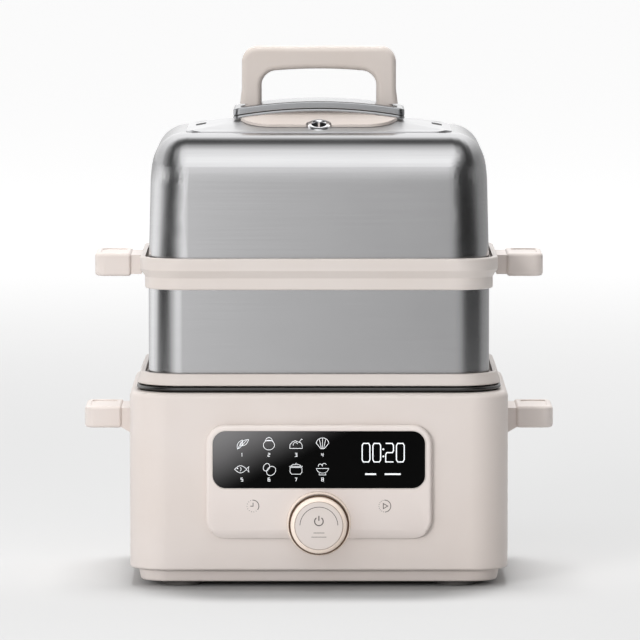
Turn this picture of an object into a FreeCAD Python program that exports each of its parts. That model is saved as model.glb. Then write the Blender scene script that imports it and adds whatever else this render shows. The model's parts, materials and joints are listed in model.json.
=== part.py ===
import FreeCAD, Part
import math
import os
import re
import Sketcher
from FreeCAD import Vector

# Stacked electric steamer: a heated base with a lift-out pot, one steaming tier and a lid.
# Millimetres, +Z up, the front faces -Y. Every piece is drawn about the upright axis of the
# base and then placed with the whole appliance centred over the origin.

dimensions = {
    # heights, from the table up
    "foot_height": 4.2,
    "plinth_height": 9.5,
    "base_height": 137.8,
    "gasket_height": 5.0,
    "pot_ring_height": 9.3,
    "pot_seat": 3.5,
    "tier_rise": 70.5,
    "tier_ring_height": 24.7,
    "tier_seat": 18.0,
    "lid_height": 102.5,
    "crown_rise": 10.5,
    # base housing
    "base_width": 294.0,
    "base_depth": 224.0,
    "base_corner": 30.0,
    "base_shoulder": 4.5,
    "base_hem": 2.0,
    "wall": 3.0,
    "deck": 4.0,
    "fit": 0.3,
    # bottom cover, feet and screws
    "plinth_inset": 6.5,
    "plinth_slope": 12.0,
    "cover_flange": 3.0,
    "cover_floor": 3.0,
    "foot_radius": 16.0,
    "foot_inset_side": 40.0,
    "foot_inset_front": 32.0,
    "boss_radius": 5.0,
    "boss_height": 34.0,
    "boss_inset_side": 18.0,
    "boss_inset_front": 42.0,
    "rib_thickness": 2.5,
    "screw_radius": 1.5,
    "screw_head_radius": 3.5,
    "screw_head_height": 2.2,
    "screw_bite": 14.0,
    "vent_length": 44.0,
    "vent_width": 4.0,
    "vent_spread": 84.0,
    # side handles
    "handle_depth": 64.0,
    "handle_neck": 8.0,
    "handle_relief": 1.5,
    "handle_round": 8.0,
    "handle_edge": 2.5,
    "handle_dish": 0.8,
    "dish_margin": 2.0,
    "base_handle_reach": 37.0,
    "base_handle_thickness": 17.0,
    "base_handle_drop": 17.5,
    "base_handle_gusset": 6.0,
    "tier_handle_reach": 36.5,
    "tier_handle_thickness": 18.0,
    "handle_screw_spread": 36.0,
    # control panel
    "panel_width": 174.6,
    "panel_height": 88.5,
    "panel_corner": 15.5,
    "panel_rise": 6.0,
    "panel_skin": 3.0,
    "panel_edge": 2.8,
    "panel_bevel": 7.0,
    "panel_bevel_depth": 4.0,
    "panel_level": 83.2,
    "window_width": 152.0,
    "window_height": 80.0,
    "window_corner": 8.0,
    "glass_width": 164.0,
    "glass_height": 44.2,
    "glass_corner": 10.0,
    "glass_thickness": 1.6,
    "glass_level": 100.6,
    "module_width": 148.0,
    "module_height": 33.0,
    "board_gap": 9.0,
    "board_thickness": 1.6,
    "board_clearance": 2.5,
    "touch_level": 64.6,
    "touch_spread": 102.0,
    "touch_radius": 4.0,
    "touch_bore": 2.8,
    # knob and encoder, on one axis
    "knob_level": 51.5,
    "knob_radius": 24.8,
    "knob_ring_bore": 22.0,
    "knob_ring_length": 15.7,
    "knob_band_radius": 23.4,
    "knob_skirt_length": 6.0,
    "knob_gap": 0.8,
    "knob_reach": 21.5,
    "knob_core_length": 14.0,
    "knob_edge": 2.0,
    "knob_groove_radius": 18.7,
    "knob_groove_width": 0.6,
    "knob_groove_depth": 0.4,
    "shaft_radius": 3.0,
    "shaft_fit": 0.05,
    "shaft_stop": 2.0,
    "encoder_side": 13.0,
    "encoder_length": 6.5,
    "encoder_bush_radius": 4.0,
    # pot, its well and the heater under it
    "pot_width": 236.0,
    "pot_depth": 166.0,
    "pot_corner": 26.0,
    "pot_wall": 1.2,
    "pot_bend": 10.0,
    "pot_flange": 1.0,
    "pot_flange_reach": 4.5,
    "well_gap": 4.0,
    "well_wall": 0.8,
    "well_flange": 8.0,
    "heater_gap": 0.3,
    "plate_inset": 16.0,
    "plate_thickness": 10.0,
    "post_height": 12.0,
    "post_radius": 4.0,
    "post_inset": 22.0,
    "element_radius": 4.0,
    "element_inset": 44.0,
    "element_bend": 22.0,
    "element_gap": 18.0,
    "sensor_radius": 12.0,
    "sensor_flange_radius": 16.0,
    "sensor_flange": 3.0,
    "spring_radius": 9.0,
    "spring_wire": 2.0,
    "fuse_radius": 3.0,
    "fuse_length": 16.0,
    "fuse_offset": 26.0,
    # power board and mains inlet
    "power_width": 112.0,
    "power_depth": 66.0,
    "power_post": 6.0,
    "power_headroom": 8.1,
    "component_margin": 8.0,
    "relay_length": 29.0,
    "relay_width": 13.0,
    "relay_height": 15.5,
    "choke_length": 26.0,
    "choke_width": 22.0,
    "choke_height": 18.0,
    "capacitor_radius": 6.0,
    "capacitor_height": 16.0,
    "inlet_inset": 62.0,
    "inlet_level": 32.0,
    "inlet_width": 31.0,
    "inlet_height": 23.0,
    "inlet_length": 20.0,
    "inlet_flange": 3.5,
    "inlet_flange_thickness": 2.0,
    "inlet_wall": 3.5,
    "pin_length": 10.0,
    "pin_width": 2.0,
    "pin_height": 4.0,
    "pin_spread": 14.0,
    # drawn steel and the rings that carry it
    "steel_width": 265.0,
    "steel_depth": 195.0,
    "steel_corner": 27.0,
    "steel_wall": 1.0,
    "shell_flange": 7.0,
    "gasket_reach": 9.25,
    "gasket_width": 10.0,
    "gasket_round": 2.0,
    "lip_gap": 2.75,
    "lip_wall": 4.0,
    "lip_edge": 1.4,
    "lip_height": 9.7,
    "ledge": 2.5,
    "ledge_width": 4.0,
    "skirt_wall": 2.85,
    "skirt_height": 9.2,
    "pot_ring_reach": 9.5,
    "pot_ring_flare": 3.5,
    # steaming tray
    "tray_clearance": 1.0,
    "tray_corner": 38.0,
    "tray_height": 9.0,
    "slot_length": 34.0,
    "slot_width": 6.0,
    "slot_margin": 34.0,
    # lid
    "lid_corner": 32.0,
    "lid_draft": 1.4,
    "lid_shoulder": 26.0,
    "crown_inset": 29.0,
    "crown_corner": 14.0,
    "crown_step": 0.8,
    "side_vent_length": 9.0,
    "side_vent_width": 4.0,
    "side_vent_across": 186.0,
    "side_vent_back": 54.0,
    # lid handle
    "saddle_width": 122.0,
    "saddle_depth": 116.0,
    "saddle_corner": 24.0,
    "saddle_gap": 0.25,
    "saddle_cover": 3.8,
    "saddle_drop_side": 5.0,
    "saddle_drop_front": 8.5,
    "saddle_pad": 2.0,
    "loop_inset": 0.5,
    "loop_height": 52.2,
    "loop_depth": 34.0,
    "loop_corner": 12.0,
    "loop_edge": 4.4,
    "leg_width": 15.4,
    "leg_foot": 7.4,
    "leg_foot_inset": 2.5,
    "leg_flare": 1.5,
    "leg_flare_rise": 12.0,
    "grip_height": 17.2,
    "grip_corner": 12.0,
    "grip_arch": 2.6,
    "guard_overhang": 6.5,
    "guard_depth": 66.0,
    "guard_height": 8.0,
    "guard_sheet": 1.6,
    "guard_arch": 6.0,
    "guard_lift": 10.2,
    "eyelet_radius": 9.5,
    "eyelet_forward": 57.0,
    "eyelet_height": 10.5,
    "eyelet_bore": 3.2,
    "eyelet_hole": 6.0,
    "lid_screw_radius": 2.0,
    "lid_screw_head": 4.5,
    "lid_screw_head_height": 3.0,
    "lid_screw_bite": 12.0,
}

# How closely an edge must lie on a level, how far a cutter runs past the face it leaves,
# and the share of its width that rounds the end of a slot.
near = 0.01
past = 1
slot_end = 0.4975

# Levels above the table, each stacked on the one below it.
housing_z = "foot_height + plinth_height"
deck_z = f"{housing_z} + base_height"
rim_z = f"{deck_z} + gasket_height"
tier_z = f"{rim_z} + pot_seat"
tier_ring_z = f"{tier_z} + tier_rise"
lid_z = f"{tier_ring_z} + tier_seat"
crease_z = f"{lid_z} + lid_height"
crown_z = f"{crease_z} + crown_rise"
pad_z = f"{crown_z} + saddle_pad"
floor_z = "foot_height + cover_floor"
power_z = f"{floor_z} + power_post"
well_z = f"{power_z} + board_thickness + choke_height + power_headroom + well_wall"
plate_z = f"{well_z} + post_height"
pot_z = f"{plate_z} + plate_thickness + heater_gap"
pot_height = f"{rim_z} - ({pot_z})"

# Distances forward of the upright axis.
front = "base_depth / 2"
panel_front = f"{front} + panel_rise"
panel_inside = f"{panel_front} - panel_skin"
board_front = f"{panel_inside} - board_gap"
knob_back = f"{panel_front} + knob_gap"
rear_reach = "inlet_flange_thickness"
inlet_side = "base_width / 2 - inlet_inset"
mid_shift = f"(panel_rise + knob_reach - {rear_reach}) / 2"


doc = FreeCAD.newDocument("steamer")
sheet = doc.addObject("Spreadsheet::Sheet", "Sizes")
for row, (alias, size) in enumerate(dimensions.items(), 1):
    sheet.set(f"A{row}", alias)
    sheet.set(f"B{row}", str(size))
    sheet.setAlias(f"B{row}", alias)
doc.recompute()


# Sizes in formulas

def formula(text):
    def cell(word):
        return f"Sizes.{word[0]}" if word[0] in dimensions else word[0]
    return re.sub(r"[a-z_]+", cell, text)


def number(text):
    return float(sheet.evalExpression(formula(text)))


def bind(thing, path, text):
    thing.setExpression(path, formula(text))


def steel_plan(offset):
    return (
        f"steel_width + 2 * ({offset})",
        f"steel_depth + 2 * ({offset})",
        f"steel_corner + ({offset})",
    )


def base_plan(offset):
    return (
        f"base_width + 2 * ({offset})",
        f"base_depth + 2 * ({offset})",
        f"base_corner + ({offset})",
    )


def pot_plan(offset):
    return (
        f"pot_width + 2 * ({offset})",
        f"pot_depth + 2 * ({offset})",
        f"pot_corner + ({offset})",
    )


def four(across, along):
    return [(f"{x} * ({across})", f"{y} * ({along})") for x in (-1, 1) for y in (-1, 1)]


# Bodies, sketches and features

def new_body(name):
    body = doc.addObject("PartDesign::Body", name)
    body.Label = name
    bind(body, "Placement.Base.y", mid_shift)
    return body


def datum(body, role):
    return next(item for item in body.Origin.OriginFeatures if item.Role == role)


def sketch(body, role, out="0", right="0", up="0"):
    drawing = body.newObject("Sketcher::SketchObject", "sketch")
    drawing.AttachmentSupport = (datum(body, role), [""])
    drawing.MapMode = "FlatFace"
    bind(drawing, "AttachmentOffset.Base.x", right)
    bind(drawing, "AttachmentOffset.Base.y", up)
    bind(drawing, "AttachmentOffset.Base.z", out)
    return drawing


def pin(drawing, text, kind, *where):
    index = drawing.addConstraint(Sketcher.Constraint(kind, *where, number(text)))
    bind(drawing, f"Constraints[{index}]", text)


def link(drawing, kind, *where):
    drawing.addConstraint(Sketcher.Constraint(kind, *where))


def rounded(drawing, width, height, radius):
    side, end, bend = number(width) / 2, number(height) / 2, number(radius)
    x, y = side - bend, end - bend
    runs = [
        ((-x, -end), (x, -end)),
        ((side, -y), (side, y)),
        ((x, end), (-x, end)),
        ((-side, y), (-side, -y)),
    ]
    first = drawing.GeometryCount
    for start, stop in runs:
        drawing.addGeometry(Part.LineSegment(Vector(*start), Vector(*stop)))
    quarter = math.pi / 2
    for turn, centre in enumerate([(x, -y), (x, y), (-x, y), (-x, -y)]):
        circle = Part.Circle(Vector(*centre), Vector(0, 0, 1), bend)
        drawing.addGeometry(Part.ArcOfCircle(circle, (turn - 1) * quarter, turn * quarter))
    for turn in range(4):
        run, arc, following = first + turn, first + 4 + turn, first + (turn + 1) % 4
        link(drawing, "Tangent", run, 2, arc, 1)
        link(drawing, "Tangent", arc, 2, following, 1)
        link(drawing, "Vertical" if turn % 2 else "Horizontal", run)
        if turn:
            link(drawing, "Equal", first + 4, arc)
    link(drawing, "Symmetric", first, 1, first + 2, 1, -1, 1)
    pin(drawing, radius, "Radius", first + 4)
    pin(drawing, width, "DistanceX", first + 3, 1, first + 1, 1)
    pin(drawing, height, "DistanceY", first, 1, first + 2, 1)
    return drawing


def circles(drawing, radius, spots=(("0", "0"),)):
    for x, y in spots:
        circle = Part.Circle(Vector(number(x), number(y)), Vector(0, 0, 1), number(radius))
        index = drawing.addGeometry(circle)
        pin(drawing, x, "DistanceX", -1, 1, index, 3)
        pin(drawing, y, "DistanceY", -1, 1, index, 3)
        pin(drawing, radius, "Radius", index)
    return drawing


def polygon(drawing, corners):
    first = drawing.GeometryCount
    count = len(corners)
    spots = [Vector(number(x), number(y)) for x, y in corners]
    for turn in range(count):
        drawing.addGeometry(Part.LineSegment(spots[turn], spots[(turn + 1) % count]))
    for turn, (x, y) in enumerate(corners):
        link(drawing, "Coincident", first + turn, 2, first + (turn + 1) % count, 1)
        pin(drawing, x, "DistanceX", -1, 1, first + turn, 1)
        pin(drawing, y, "DistanceY", -1, 1, first + turn, 1)
    return drawing


def box_outline(drawing, width, height):
    x, y = f"({width}) / 2", f"({height}) / 2"
    return polygon(drawing, [
        (f"-{x}", f"-{y}"),
        (x, f"-{y}"),
        (x, y),
        (f"-{x}", y),
    ])


def extrude(kind, body, drawing, length, back=False, both=False, taper="0"):
    before = body.Shape.Volume if body.Tip else 0.0
    feature = body.newObject(f"PartDesign::{kind}", kind.lower())
    feature.Profile = drawing
    bind(feature, "Length", length)
    bind(feature, "TaperAngle", taper)
    feature.Reversed = back
    if both:
        feature.SideType = "Symmetric"
    doc.recompute()
    if kind == "Pocket" and body.Shape.Volume > before - near:
        raise RuntimeError(f"a cut in {body.Label} misses the solid")
    return feature


def pad(body, drawing, length, **ways):
    return extrude("Pad", body, drawing, length, **ways)


def pocket(body, drawing, length, **ways):
    return extrude("Pocket", body, drawing, length, **ways)


def lies(axis, *levels):
    spots = [number(level) for level in levels]

    def chosen(edge):
        low = getattr(edge.BoundBox, axis + "Min")
        high = getattr(edge.BoundBox, axis + "Max")
        return any(abs(low - spot) < near and abs(high - spot) < near for spot in spots)
    return chosen


def fillet(body, radius, chosen):
    base = body.Tip
    edges = [f"Edge{turn}" for turn, edge in enumerate(base.Shape.Edges, 1) if chosen(edge)]
    feature = body.newObject("PartDesign::Fillet", "fillet")
    feature.Base = (base, edges)
    bind(feature, "Radius", radius)
    doc.recompute()
    if not edges or "Invalid" in feature.State:
        raise RuntimeError(f"an edge of {body.Label} can't take its round of {number(radius)}")
    return feature


def repeat(body, feature, axis, spacing, count, other=None):
    pattern = body.newObject("PartDesign::LinearPattern", "pattern")
    pattern.Originals = [feature]
    pattern.Direction = (datum(body, axis), [""])
    pattern.Mode = "Spacing"
    bind(pattern, "Offset", spacing)
    pattern.Occurrences = count
    if other:
        second_axis, second_spacing, second_count = other
        pattern.Direction2 = (datum(body, second_axis), [""])
        pattern.Mode2 = "Spacing"
        bind(pattern, "Offset2", second_spacing)
        pattern.Occurrences2 = second_count
    body.Tip = pattern
    doc.recompute()
    return pattern


def cut(name, base, *tools):
    for turn, tool in enumerate(tools, 1):
        result = doc.addObject("Part::Cut", f"{name}_cut_{turn}")
        result.Base = base
        result.Tool = tool
        base = result
    base.Label = name
    doc.recompute()
    return base


def arch_radius(half, sag):
    return f"(({half}) * ({half}) + ({sag}) * ({sag})) / (2 * ({sag}))"


# Takes away what stands above an arch whose crown is at the given level.
def arch_cut(body, role, crown, half, sag, length):
    drawing = sketch(body, role, up=crown)
    radius = arch_radius(half, sag)
    reach, top = f"{half} + {past}", f"2 * ({sag})"
    span, bend, ceiling = number(reach), number(radius), number(top)
    start = math.acos(span / bend)
    circle = Part.Circle(Vector(0, -bend), Vector(0, 0, 1), bend)
    drawing.addGeometry(Part.ArcOfCircle(circle, start, math.pi - start))
    edge = bend * math.sin(start) - bend
    posts = [Vector(-span, edge), Vector(-span, ceiling), Vector(span, ceiling), Vector(span, edge)]
    for turn in range(3):
        drawing.addGeometry(Part.LineSegment(posts[turn], posts[turn + 1]))
    for turn in range(4):
        link(drawing, "Coincident", turn, 2, (turn + 1) % 4, 1)
    link(drawing, "Vertical", 1)
    link(drawing, "Horizontal", 2)
    link(drawing, "Vertical", 3)
    pin(drawing, radius, "Radius", 0)
    pin(drawing, "0", "DistanceX", -1, 1, 0, 3)
    pin(drawing, f"-({radius})", "DistanceY", -1, 1, 0, 3)
    pin(drawing, f"-({reach})", "DistanceX", -1, 1, 2, 1)
    pin(drawing, reach, "DistanceX", -1, 1, 2, 2)
    pin(drawing, top, "DistanceY", -1, 1, 2, 1)
    return pocket(body, drawing, length, both=True)


# Base

boss_spots = four("base_width / 2 - boss_inset_side", f"{front} - boss_inset_front")
foot_spots = four("base_width / 2 - foot_inset_side", f"{front} - foot_inset_front")
handle_spots = [("-handle_screw_spread / 2", "0"), ("handle_screw_spread / 2", "0")]
base_handle_top = f"{deck_z} - base_handle_drop"
base_handle_mid = f"{base_handle_top} - base_handle_thickness / 2"


def base_housing():
    body = new_body("base_housing")
    pad(body, rounded(sketch(body, "XY_Plane", housing_z), *base_plan("0")), "base_height")
    fillet(body, "base_shoulder", lies("Z", deck_z))
    fillet(body, "base_hem", lies("Z", housing_z))
    hollow = rounded(sketch(body, "XY_Plane", housing_z), *base_plan("-wall"))
    pocket(body, hollow, "base_height - deck", back=True)
    mouth = rounded(sketch(body, "XY_Plane", deck_z), *pot_plan("well_gap"))
    pocket(body, mouth, f"deck + {past}")
    window = sketch(body, "XZ_Plane", front, up="panel_level")
    pocket(body, rounded(window, "window_width", "window_height", "window_corner"), f"wall + {past}")
    inlet = sketch(body, "XZ_Plane", f"-({front})", inlet_side, "inlet_level")
    opening = box_outline(inlet, "inlet_width + fit", "inlet_height + fit")
    pocket(body, opening, f"wall + {past}", back=True)
    for side in (-1, 1):
        face = sketch(body, "YZ_Plane", f"{side} * base_width / 2", up=base_handle_mid)
        holes = circles(face, "screw_radius + fit", handle_spots)
        pocket(body, holes, f"wall + {past}", back=side < 0)
    posts = circles(sketch(body, "XY_Plane", floor_z), "boss_radius", boss_spots)
    pad(body, posts, "boss_height")
    rib_z = f"{housing_z} + cover_flange + fit"
    for side in (-1, 1):
        for end in (-1, 1):
            rib_mid = f"{side} * (base_width - boss_inset_side - wall / 2) / 2"
            rib_y = f"{end} * ({front} - boss_inset_front)"
            rib = sketch(body, "XY_Plane", rib_z, rib_mid, rib_y)
            web = box_outline(rib, "boss_inset_side - wall / 2", "rib_thickness")
            pad(body, web, f"{floor_z} + boss_height - ({rib_z})")
    pilots = circles(sketch(body, "XY_Plane", floor_z), "screw_radius + fit / 3", boss_spots)
    pocket(body, pilots, "screw_bite + fit", back=True)
    return body


def bottom_cover():
    body = new_body("bottom_cover")
    plinth = rounded(sketch(body, "XY_Plane", housing_z), *base_plan("-plinth_inset"))
    pad(body, plinth, "plinth_height", back=True, taper="-plinth_slope")
    fillet(body, "base_hem", lies("Z", "foot_height"))
    flange = rounded(sketch(body, "XY_Plane", housing_z), *base_plan("-wall - fit"))
    pad(body, flange, "cover_flange")
    top = f"{housing_z} + cover_flange"
    tray = rounded(sketch(body, "XY_Plane", top), *base_plan("-plinth_inset - wall"))
    pocket(body, tray, "cover_flange + plinth_height - cover_floor")
    holes = circles(sketch(body, "XY_Plane", floor_z), "screw_radius + fit", boss_spots)
    pocket(body, holes, f"cover_floor + {past}")
    power_spots = four("power_width / 2 - post_radius", "power_depth / 2 - post_radius")
    posts = circles(sketch(body, "XY_Plane", floor_z), "post_radius", power_spots)
    pad(body, posts, "power_post")
    vent = sketch(body, "XY_Plane", floor_z, "-vent_spread / 2")
    slot = pocket(body, box_outline(vent, "vent_width", "vent_length"), f"cover_floor + {past}")
    count = 7
    repeat(body, slot, "X_Axis", f"vent_spread / {count - 1}", count)
    return body


def rubber_feet():
    body = new_body("rubber_feet")
    pad(body, circles(sketch(body, "XY_Plane"), "foot_radius", foot_spots), "foot_height")
    fillet(body, "foot_height / 4", lies("Z", "0"))
    return body


def base_screws():
    body = new_body("base_screws")
    heads = circles(sketch(body, "XY_Plane", "foot_height"), "screw_head_radius", boss_spots)
    pad(body, heads, "screw_head_height", back=True)
    shanks = circles(sketch(body, "XY_Plane", "foot_height"), "screw_radius", boss_spots)
    pad(body, shanks, "cover_floor + screw_bite")
    return body


# A moulded grip on a short neck, seen from the front as a stepped profile.
def side_handle(name, side, root, top, reach, thickness, gusset, screws):
    body = new_body(name)

    def out(distance):
        return f"{side} * ({root} + {distance})"
    bottom = f"{top} - {thickness}"
    grip = polygon(sketch(body, "XZ_Plane"), [
        (out("handle_neck"), bottom),
        (out(reach), bottom),
        (out(reach), top),
        (out("handle_neck"), top),
    ])
    pad(body, grip, "handle_depth", both=True)
    upright = lies("Y", "-handle_depth / 2", "handle_depth / 2")
    tip, heel = lies("X", out(reach)), lies("X", out("handle_neck"))
    fillet(body, "handle_round", lambda edge: tip(edge) and upright(edge))
    fillet(body, "handle_edge", lambda edge: heel(edge) and upright(edge))
    fillet(body, "handle_edge", lies("Z", top, bottom))
    neck = polygon(sketch(body, "XZ_Plane"), [
        (out("0"), f"{bottom} + handle_relief - {gusset}"),
        (out("handle_neck + handle_edge"), f"{bottom} + handle_relief"),
        (out("handle_neck + handle_edge"), f"{top} - handle_relief"),
        (out("0"), f"{top} - handle_relief"),
    ])
    pad(body, neck, "handle_depth - 2 * handle_edge", both=True)
    dish = sketch(body, "XY_Plane", top, out(f"(handle_neck + {reach}) / 2"))
    dish_width = f"{reach} - handle_neck - 2 * (handle_edge + dish_margin)"
    dish_depth = "handle_depth - 2 * handle_round"
    pocket(body, rounded(dish, dish_width, dish_depth, "handle_edge * 2"), "handle_dish")
    if screws:
        face = sketch(body, "YZ_Plane", out("0"), up=base_handle_mid)
        bores = circles(face, "screw_radius + fit / 3", handle_spots)
        pocket(body, bores, "screw_bite + fit", back=side > 0)
    return body


def base_handle(name, side):
    return side_handle(name, side, "base_width / 2", base_handle_top, "base_handle_reach",
                       "base_handle_thickness", "base_handle_gusset", True)


def handle_screws():
    body = new_body("handle_screws")
    for side in (-1, 1):
        seat = f"{side} * (base_width / 2 - wall)"
        heads = circles(sketch(body, "YZ_Plane", seat, up=base_handle_mid), "screw_head_radius",
                        handle_spots)
        pad(body, heads, "screw_head_height", back=side > 0)
        shanks = circles(sketch(body, "YZ_Plane", seat, up=base_handle_mid), "screw_radius",
                         handle_spots)
        pad(body, shanks, "wall + screw_bite", back=side < 0)
    return body


def base_gasket():
    body = new_body("base_gasket")
    pad(body, rounded(sketch(body, "XY_Plane", deck_z), *steel_plan("gasket_reach")),
        "gasket_height")
    fillet(body, "gasket_round", lies("Z", deck_z, rim_z))
    bore = rounded(sketch(body, "XY_Plane", rim_z), *steel_plan("gasket_reach - gasket_width"))
    pocket(body, bore, "gasket_height")
    return body


# Heater under the pot

plate_spots = four("pot_width / 2 - plate_inset - post_inset",
                   "pot_depth / 2 - plate_inset - post_inset")


def pot_well():
    body = new_body("pot_well")
    under_deck = f"{deck_z} - deck"
    bottom = f"{well_z} - well_wall"
    outer = rounded(sketch(body, "XY_Plane", bottom), *pot_plan("well_gap + well_wall"))
    pad(body, outer, f"{under_deck} - ({bottom})")
    flange = rounded(sketch(body, "XY_Plane", under_deck), *pot_plan("well_gap + well_flange"))
    pad(body, flange, "well_wall", back=True)
    inner = rounded(sketch(body, "XY_Plane", under_deck), *pot_plan("well_gap"))
    pocket(body, inner, f"{under_deck} - ({well_z})")
    lead_hole = circles(sketch(body, "XY_Plane", well_z), "spring_radius / 2")
    pocket(body, lead_hole, f"well_wall + {past}")
    return body


def heating_plate():
    body = new_body("heating_plate")
    pad(body, rounded(sketch(body, "XY_Plane", plate_z), *pot_plan("-plate_inset")),
        "plate_thickness")
    fillet(body, "base_hem", lies("Z", f"{plate_z} + plate_thickness"))
    hole = circles(sketch(body, "XY_Plane", f"{plate_z} + plate_thickness"), "sensor_radius + fit")
    pocket(body, hole, "plate_thickness")
    return body


def heating_element():
    body = new_body("heating_element")
    level = f"{plate_z} - element_radius"
    length = "pot_width - 2 * element_inset"
    depth = "pot_depth - 2 * element_inset"
    path = rounded(sketch(body, "XY_Plane", level), length, depth, "element_bend")
    tube = circles(sketch(body, "YZ_Plane", right=f"-({depth}) / 2", up=level), "element_radius")
    pipe = body.newObject("PartDesign::AdditivePipe", "pipe")
    pipe.Profile = tube
    pipe.Spine = path
    doc.recompute()
    gap = sketch(body, "XY_Plane", f"{level} - element_radius", up=f"({depth}) / 2")
    pocket(body, box_outline(gap, "element_gap", "4 * element_radius"), "3 * element_radius",
           back=True)
    ends = [(f"{side} * (element_gap / 2 + element_radius)", f"({depth}) / 2") for side in (-1, 1)]
    pins = circles(sketch(body, "XY_Plane", level), "element_radius / 2", ends)
    pad(body, pins, f"{level} - ({well_z}) - fit", back=True)
    return body


def heater_posts():
    body = new_body("heater_posts")
    pad(body, circles(sketch(body, "XY_Plane", well_z), "post_radius", plate_spots), "post_height")
    return body


def thermal_fuse():
    body = new_body("thermal_fuse")
    face = sketch(body, "YZ_Plane", right="fuse_offset", up=f"{plate_z} - fuse_radius")
    pad(body, circles(face, "fuse_radius"), "fuse_length", both=True)
    return body


def sensor_cap():
    body = new_body("sensor_cap")
    shoulder = f"{plate_z} - heater_gap"
    pad(body, circles(sketch(body, "XY_Plane", shoulder), "sensor_flange_radius"), "sensor_flange",
        back=True)
    pad(body, circles(sketch(body, "XY_Plane", shoulder), "sensor_radius"),
        "plate_thickness + heater_gap")
    fillet(body, "base_hem / 2", lies("Z", f"{plate_z} + plate_thickness"))
    return body


def sensor_spring():
    body = new_body("sensor_spring")
    pad(body, circles(sketch(body, "XY_Plane", well_z), "spring_radius"),
        "post_height - heater_gap - sensor_flange")
    bore = circles(sketch(body, "XY_Plane", well_z), "spring_radius - spring_wire")
    pocket(body, bore, "post_height", back=True)
    return body


# Control panel and what stands behind it

board_corners = four("window_width / 2 - board_clearance - post_radius",
                     "window_height / 2 - board_clearance - post_radius")


def control_panel():
    body = new_body("control_panel")
    face = sketch(body, "XZ_Plane", front, up="panel_level")
    pad(body, rounded(face, "panel_width", "panel_height", "panel_corner"), "panel_rise")
    fillet(body, "panel_edge", lies("Y", f"-({panel_front})"))
    bottom = "panel_level - panel_height / 2"
    bevel = polygon(sketch(body, "YZ_Plane"), [
        (f"-({panel_front})", f"{bottom} + panel_bevel"),
        (f"-({panel_front} - panel_bevel_depth)", bottom),
        (f"-({panel_front} - panel_bevel_depth)", f"{bottom} - {past}"),
        (f"-({panel_front} + {past})", f"{bottom} - {past}"),
        (f"-({panel_front} + {past})", f"{bottom} + panel_bevel"),
    ])
    pocket(body, bevel, f"panel_width + {past}", both=True)
    back = sketch(body, "XZ_Plane", front, up="panel_level")
    pocket(body, rounded(back, "window_width", "window_height", "window_corner"),
           "panel_rise - panel_skin", back=True)
    recess = sketch(body, "XZ_Plane", panel_front, up="glass_level")
    pocket(body, rounded(recess, "glass_width + fit", "glass_height + fit", "glass_corner"),
           "glass_thickness")
    through = sketch(body, "XZ_Plane", panel_front, up="glass_level")
    pocket(body, box_outline(through, "module_width + 2 * fit", "module_height + 2 * fit"),
           "panel_rise")
    shaft = sketch(body, "XZ_Plane", panel_front, up="knob_level")
    pocket(body, circles(shaft, "encoder_bush_radius + fit"), "panel_rise")
    posts = sketch(body, "XZ_Plane", panel_inside, up="panel_level")
    pad(body, circles(posts, "post_radius", board_corners), "board_gap", back=True)
    return body


def display_glass():
    body = new_body("display_glass")
    face = sketch(body, "XZ_Plane", panel_front, up="glass_level")
    pad(body, rounded(face, "glass_width", "glass_height", "glass_corner"), "glass_thickness",
        back=True)
    return body


def display_module():
    body = new_body("display_module")
    face = sketch(body, "XZ_Plane", board_front, up="glass_level")
    pad(body, box_outline(face, "module_width", "module_height"),
        "board_gap + panel_skin - glass_thickness")
    posts = sketch(body, "XZ_Plane", board_front, up="panel_level")
    pocket(body, circles(posts, "post_radius + fit", board_corners), "board_gap + panel_rise",
           back=True)
    return body


def control_board():
    body = new_body("control_board")
    face = sketch(body, "XZ_Plane", board_front, up="panel_level")
    width = "window_width - 2 * board_clearance"
    height = "window_height - 2 * board_clearance"
    pad(body, rounded(face, width, height, "post_radius"), "board_thickness", back=True)
    return body


def touch_springs():
    body = new_body("touch_springs")
    spots = [("-touch_spread / 2", "0"), ("touch_spread / 2", "0")]
    face = sketch(body, "XZ_Plane", board_front, up="touch_level")
    pad(body, circles(face, "touch_radius", spots), "board_gap")
    bore = sketch(body, "XZ_Plane", board_front, up="touch_level")
    pocket(body, circles(bore, "touch_bore", spots), "board_gap", back=True)
    return body


def rotary_encoder():
    body = new_body("rotary_encoder")
    face = sketch(body, "XZ_Plane", board_front, up="knob_level")
    pad(body, box_outline(face, "encoder_side", "encoder_side"), "encoder_length")
    bush = sketch(body, "XZ_Plane", board_front, up="knob_level")
    pad(body, circles(bush, "encoder_bush_radius"), "board_gap + panel_skin")
    bore = sketch(body, "XZ_Plane", panel_front, up="knob_level")
    pocket(body, circles(bore, "shaft_radius + shaft_fit"), "board_gap + panel_skin - shaft_stop")
    return body


# Knob

def knob_core():
    body = new_body("knob_core")
    back = sketch(body, "XZ_Plane", knob_back, up="knob_level")
    pad(body, circles(back, "knob_ring_bore - fit / 2"), "knob_core_length")
    bore = sketch(body, "XZ_Plane", knob_back, up="knob_level")
    pocket(body, circles(bore, "shaft_radius + shaft_fit"), "knob_core_length - shaft_stop",
           back=True)
    return body


def knob_ring():
    body = new_body("knob_ring")
    skirt = sketch(body, "XZ_Plane", knob_back, up="knob_level")
    pad(body, circles(skirt, "knob_radius"), "knob_skirt_length")
    fillet(body, "knob_edge / 2", lies("Y", f"-({knob_back} + knob_skirt_length)"))
    band = sketch(body, "XZ_Plane", knob_back, up="knob_level")
    pad(body, circles(band, "knob_band_radius"), "knob_ring_length")
    bore = sketch(body, "XZ_Plane", knob_back, up="knob_level")
    pocket(body, circles(bore, "knob_ring_bore"), "knob_ring_length", back=True)
    return body


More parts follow.
